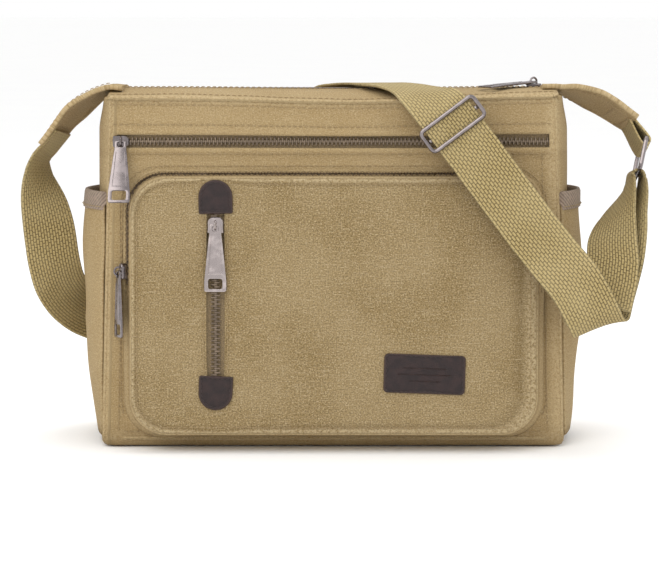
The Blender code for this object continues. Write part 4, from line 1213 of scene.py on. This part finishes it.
def shoulder_strap():
    _, run_across, _ = run_frame()
    down = RING_LOW - RING_TOP
    drop = down.length
    down = (down - EAR_ACROSS * down.dot(EAR_ACROSS)).normalized()
    lower_bar = RING_TOP + down * drop
    outside = down.cross(EAR_ACROSS).normalized()
    beside = lower_bar + (outside if outside.x > 0 else -outside) * RING_PITCH / 2
    stations = [
        ((-0.1970, 0, 0.2230), EAR_ACROSS),
        ((-0.2069, 0, 0.2114), EAR_ACROSS),
        ((-0.2130, -0.001, 0.2045), (0.1, 0.95, -0.3)),
        ((-0.2150, -0.002, 0.1920), (0.45, 0.85, -0.2)),
        ((-0.2115, -0.004, 0.172), (0.79, 0.6, 0)),
        ((-0.2075, -0.002, 0.150), (0.96, 0.28, 0)),
        ((-0.2055, 0.004, 0.128), (0.98, 0.15, 0.1)),
        ((-0.2010, 0.018, 0.106), (0.88, 0.2, 0.35)),
        ((-0.1900, 0.042, 0.088), (0.55, 0.3, 0.75)),
        ((-0.1700, 0.0650, 0.0760), (0.3, 0.1, 1)),
        ((-0.1400, 0.0720, 0.0680), (0.05, 0, 1)),
        ((-0.1000, 0.0710, 0.0720), (-0.3, 0, 1)),
        ((-0.0600, 0.0700, 0.1000), (-0.7, 0, 0.7)),
        ((-0.0330, 0.0680, 0.1500), (-0.88, 0, 0.45)),
        ((-0.0120, 0.0640, 0.2100), (-0.94, 0, 0.35)),
        ((-0.0020, 0.0560, 0.2400), (-0.93, -0.2, 0.3)),
        ((0.0100, 0.0410, 0.2545), (-0.88, -0.45, 0.05)),
        ((0.0360, 0.0000, 0.2578), (-0.85, -0.53, 0)),
        ((0.0570, -0.0330, 0.2555), (-0.85, -0.53, -0.05)),
        ((0.0670, -0.0530, 0.2500), (-0.82, -0.35, -0.3)),
        (on_run(-0.0110), -run_across),
        (on_run(0), -run_across),
        (on_run(RUN_LENGTH / 2), -run_across),
        (on_run(RUN_LENGTH - 0.012), -run_across),
        (on_run(RUN_LENGTH), -run_across),
        ((0.1680, -0.0965, 0.1230), (-0.85, 0, -0.5)),
        ((0.1780, -0.0975, 0.1060), (-0.88, -0.05, -0.45)),
        ((0.1830, -0.0930, 0.0960), (-0.93, -0.1, -0.38)),
        ((0.1865, -0.0810, 0.0910), (-0.94, -0.1, -0.34)),
        ((0.1905, -0.0690, 0.0960), (-0.94, -0.1, -0.30)),
        ((0.1945, -0.0610, 0.1090), (-0.95, -0.05, -0.2)),
        ((0.2020, -0.0480, 0.1300), (-0.95, 0.1, -0.05)),
        ((0.2140, -0.0260, 0.1620), (-0.6, 0.75, -0.35)),
        (beside + down * 0.007, EAR_ACROSS),
        (beside, EAR_ACROSS),
    ]
    leg = carried(stations, 0.004)
    inner = 1 if leg[-1][3].x < 0 else -1
    middle, tangent, across, normal, width = leg[-1]
    tangent = (tangent - across * tangent.dot(across)).normalized()
    middle = middle + normal * inner * RING_PITCH / 2
    turn = []
    for step in range(1, 14):
        angle = math.pi * step / 14
        offset = tangent * math.sin(angle) - normal * inner * math.cos(angle)
        ahead = tangent * math.cos(angle) + normal * inner * math.sin(angle)
        turn.append((middle + offset * RING_PITCH / 2, ahead, across, ahead.cross(across), width))
    first_return = next(i for i, f in enumerate(leg) if (f[0] - on_run(0.012)).length < 0.004)
    behind = leg[first_return:]
    returning = []
    for i, (at, along, over, out, width) in enumerate(behind):
        share = i / (len(behind) - 1)
        aside = over * 0.004 * math.sin(math.pi * max(0.0, share - 0.7) / 0.3)
        pitch = LAYER_PITCH + (RING_PITCH - LAYER_PITCH) * min(1.0, max(0.0, share - 0.38) / 0.12)
        returning.append((at + out * inner * pitch + aside, -along, over, -out, width))
    frames = leg + turn + returning[::-1]
    replaced = [
        f"strap_{n}"
        for n in ("left_drop", "back_run", "top_run", "front_run", "lower_fold", "ring_turn", "return_run")
    ]
    strap = band_piece("shoulder_strap", frames, WEBBING, WEB, replaced, cup=0.0, rough=0.0004)
    for t in (-1, 1):
        line = [f[0] + f[2] * (WEBBING_WIDTH / 2 - 0.003) * t + f[3] * WEBBING / 2 for f in leg[0:6]]
        other = [f[0] + f[2] * (WEBBING_WIDTH / 2 - 0.003) * t - f[3] * WEBBING / 2 for f in leg[0:6]]
        stitches(other, -leg[2][3])
        stitches(line, leg[2][3])
    for k in (0, 5):
        f = leg[k]
        for out_side in (-1, 1):
            ends = [
                f[0] + f[2] * (WEBBING_WIDTH / 2 - 0.003) * t + f[3] * out_side * WEBBING / 2
                for t in (-1, 1)
            ]
            stitches(ends, f[3] * out_side)


def ears_and_loop():
    for name, node, stations, creases in (
        ("right_ear_canvas", "right_ear", [
            ((0.1500, 0, 0.2553), (0, 1, -0.05), 0.060), ((0.1640, 0, 0.2545), (0, 1, -0.05), 0.0595),
            ((0.190, 0, 0.2465), EAR_ACROSS, 0.050), ((0.2165, 0, 0.2295), EAR_ACROSS, 0.040)], 0.7),
        ("left_ear_canvas", "left_ear", [
            ((-0.1510, 0, 0.2553), (0, 1, -0.05), 0.060), ((-0.1650, 0, 0.2545), (0, 1, -0.05), 0.0595),
            ((-0.188, 0, 0.2380), EAR_ACROSS, 0.050), ((-0.2085, 0, 0.2130), EAR_ACROSS, 0.042)], 1.0),
    ):
        frames = carried(stations, 0.0025)
        band_piece(
            name, frames, 0.0032, CANVAS, [node], folded=0.25, cup=0.0012 * creases,
            rough=0.0012, seed=creases * 9
        )
        for t in (-1, 1):
            for out_side in (-1, 1):
                line = [f[0] + f[2] * (f[4] / 2 - 0.0055) * t + f[3] * out_side * 0.0021 for f in frames[4:]]
                stitches(line, frames[len(frames) // 2][3] * out_side)
        for out_side in (-1, 1):
            for back in (3, 8):
                f = frames[-back]
                line = [
                    f[0] + f[2] * (f[4] / 2 - 0.006) * t + f[3] * out_side * 0.0020
                    for t in (-1, -0.5, 0, 0.5, 1)
                ]
                stitches(line, f[3] * out_side)
    outward = Vector((1, 0, 0))
    up = EAR_ACROSS.cross(outward).normalized()
    if up.z < 0:
        up = -up
    tail = Vector((0.2165, 0, 0.2295)) - RING_TOP
    tail = Vector((tail.dot(outward), tail.dot(up)))
    radius = 0.0034
    toward = tail.normalized()
    aside = Vector((-toward.y, toward.x))

    def leg_point(k, side):
        spread = lerp(0.0012, radius, smoothstep(0, 1, k / 6))
        return tail * (1 - k / 6) + aside * side * spread + toward * 0.004 * (1 - k / 6)

    points = [leg_point(k, 1) for k in range(6)]
    for k in range(15):
        angle = math.pi * k / 14
        points.append(aside * radius * math.cos(angle) - toward * radius * math.sin(angle))
    points += [leg_point(k, -1) for k in range(5, -1, -1)]
    path = [RING_TOP + outward * p.x + up * p.y for p in points]
    frames = []
    for i, p in enumerate(path):
        tangent = (path[min(i + 1, len(path) - 1)] - path[max(i - 1, 0)]).normalized()
        frames.append((p, tangent, EAR_ACROSS, tangent.cross(EAR_ACROSS), 0.036))
    band_piece("ring_loop_webbing", frames, 0.0017, WEB, ["ring_loop"], rough=0.0002)


# ---------------------------------------------------------------- light, floor and camera
def stage_and_camera():
    scene = bpy.context.scene
    mesh = bpy.data.meshes.new("floor")
    bm = bmesh.new()
    reach = 60.0
    bm.faces.new(
        [bm.verts.new((x * reach, y * reach, -0.0002)) for x, y in ((-1, -1), (1, -1), (1, 1), (-1, 1))]
    )
    bm.to_mesh(mesh)
    bm.free()
    mesh.shade_smooth()
    floor = bpy.data.objects.new("floor", mesh)
    scene.collection.objects.link(floor)
    tree = Tree("studio_paper", (0.98, 0.98, 0.98), 0.9)
    tone = tree.noise(tree.object(), 3, 2)
    colour = tree.mix(tree.steps(tone, 0.3, 0.7), (0.975, 0.975, 0.975), (0.985, 0.985, 0.98))
    floor.data.materials.append(tree.finish(colour))
    world = bpy.data.worlds.new("studio")
    world.use_nodes = True
    world.node_tree.nodes["Background"].inputs["Color"].default_value = (1.0, 1.0, 1.0, 1)
    world.node_tree.nodes["Background"].inputs["Strength"].default_value = 1.0
    scene.view_settings.view_transform = "Standard"
    scene.world = world
    for name, place, size, power, colour in (
        ("key", (-0.9, -1.5, 1.6), 1.4, 15, (1.0, 0.985, 0.96)),
        ("fill", (1.5, -1.2, 0.9), 1.6, 3, (0.97, 0.985, 1.0)),
        ("top", (0.1, 0.3, 2.0), 1.6, 12, (1.0, 1.0, 1.0)),
    ):
        data = bpy.data.lights.new(name, "AREA")
        data.shape = "DISK"
        data.size = size
        data.energy = power
        data.color = colour
        lamp = bpy.data.objects.new(name, data)
        lamp.location = place
        lamp.rotation_euler = (Vector((0, 0, 0.1)) - Vector(place)).to_track_quat("-Z", "Y").to_euler()
        scene.collection.objects.link(lamp)
    data = bpy.data.cameras.new("camera")
    data.lens = 126.2
    data.sensor_width = 36
    camera = bpy.data.objects.new("camera", data)
    target = Vector((-0.0025, 0, 0.1072))
    angle = math.radians(7)
    camera.location = target + Vector((0, -1.7 * math.cos(angle), 1.7 * math.sin(angle)))
    camera.rotation_euler = (target - camera.location).to_track_quat("-Z", "Y").to_euler()
    scene.collection.objects.link(camera)
    scene.camera = camera


def object_cloth(name, base, dark, scale):
    """Plain lining cloth for pieces without a UV map."""
    tree = Tree(name, base, 0.85)
    weave = tree.noise(tree.object((1, 1, 1)), scale, 3, 0.6)
    colour = tree.mix(tree.steps(weave, 0.35, 0.65), dark, base)
    sheen(tree, 0.1)
    return tree.finish(colour, tree.bump(weave, 0.0003, 0.7), tree.steps(weave, 0.3, 0.7, 0.78, 0.92))


def kept_nodes():
    """Materials for the model's own pieces that stay in view."""
    lining = object_cloth("lining_plain", (0.13, 0.095, 0.065), (0.06, 0.045, 0.032), 900)
    tape = object_cloth("tape_plain", (0.33, 0.24, 0.13), (0.17, 0.12, 0.065), 1600)
    for name, node in frame["nodes"].items():
        if name in ("lining", "front_zip_pouch", "face_zip_pouch"):
            material = lining
        elif "tape" in name:
            material = tape
        else:
            material = GUNMETAL
        if name in (
            "lining", "front_zip_pouch", "face_zip_pouch", "strap_adjuster", "strap_ring"
        ) or "tape" in name:
            node.data.materials.clear()
            node.data.materials.append(material)
            if name in ("strap_adjuster", "strap_ring"):
                node.data.shade_smooth()


body_shell()
top_strips()
side_pockets()
front_pocket()
leather()
zip_rows()
pulls()
ears_and_loop()
shoulder_strap()
kept_nodes()
piece("stitching", STITCHES.bm, THREAD)
tree = Tree("dark_thread", (0.030, 0.022, 0.022), 0.7)
twist = tree.noise(tree.object(), 2500, 2)
piece(
    "leather_stitching", DARK_STITCHES.bm,
    tree.finish(tree.mix(twist, (0.02, 0.015, 0.015), (0.06, 0.04, 0.035)))
)
stage_and_camera()
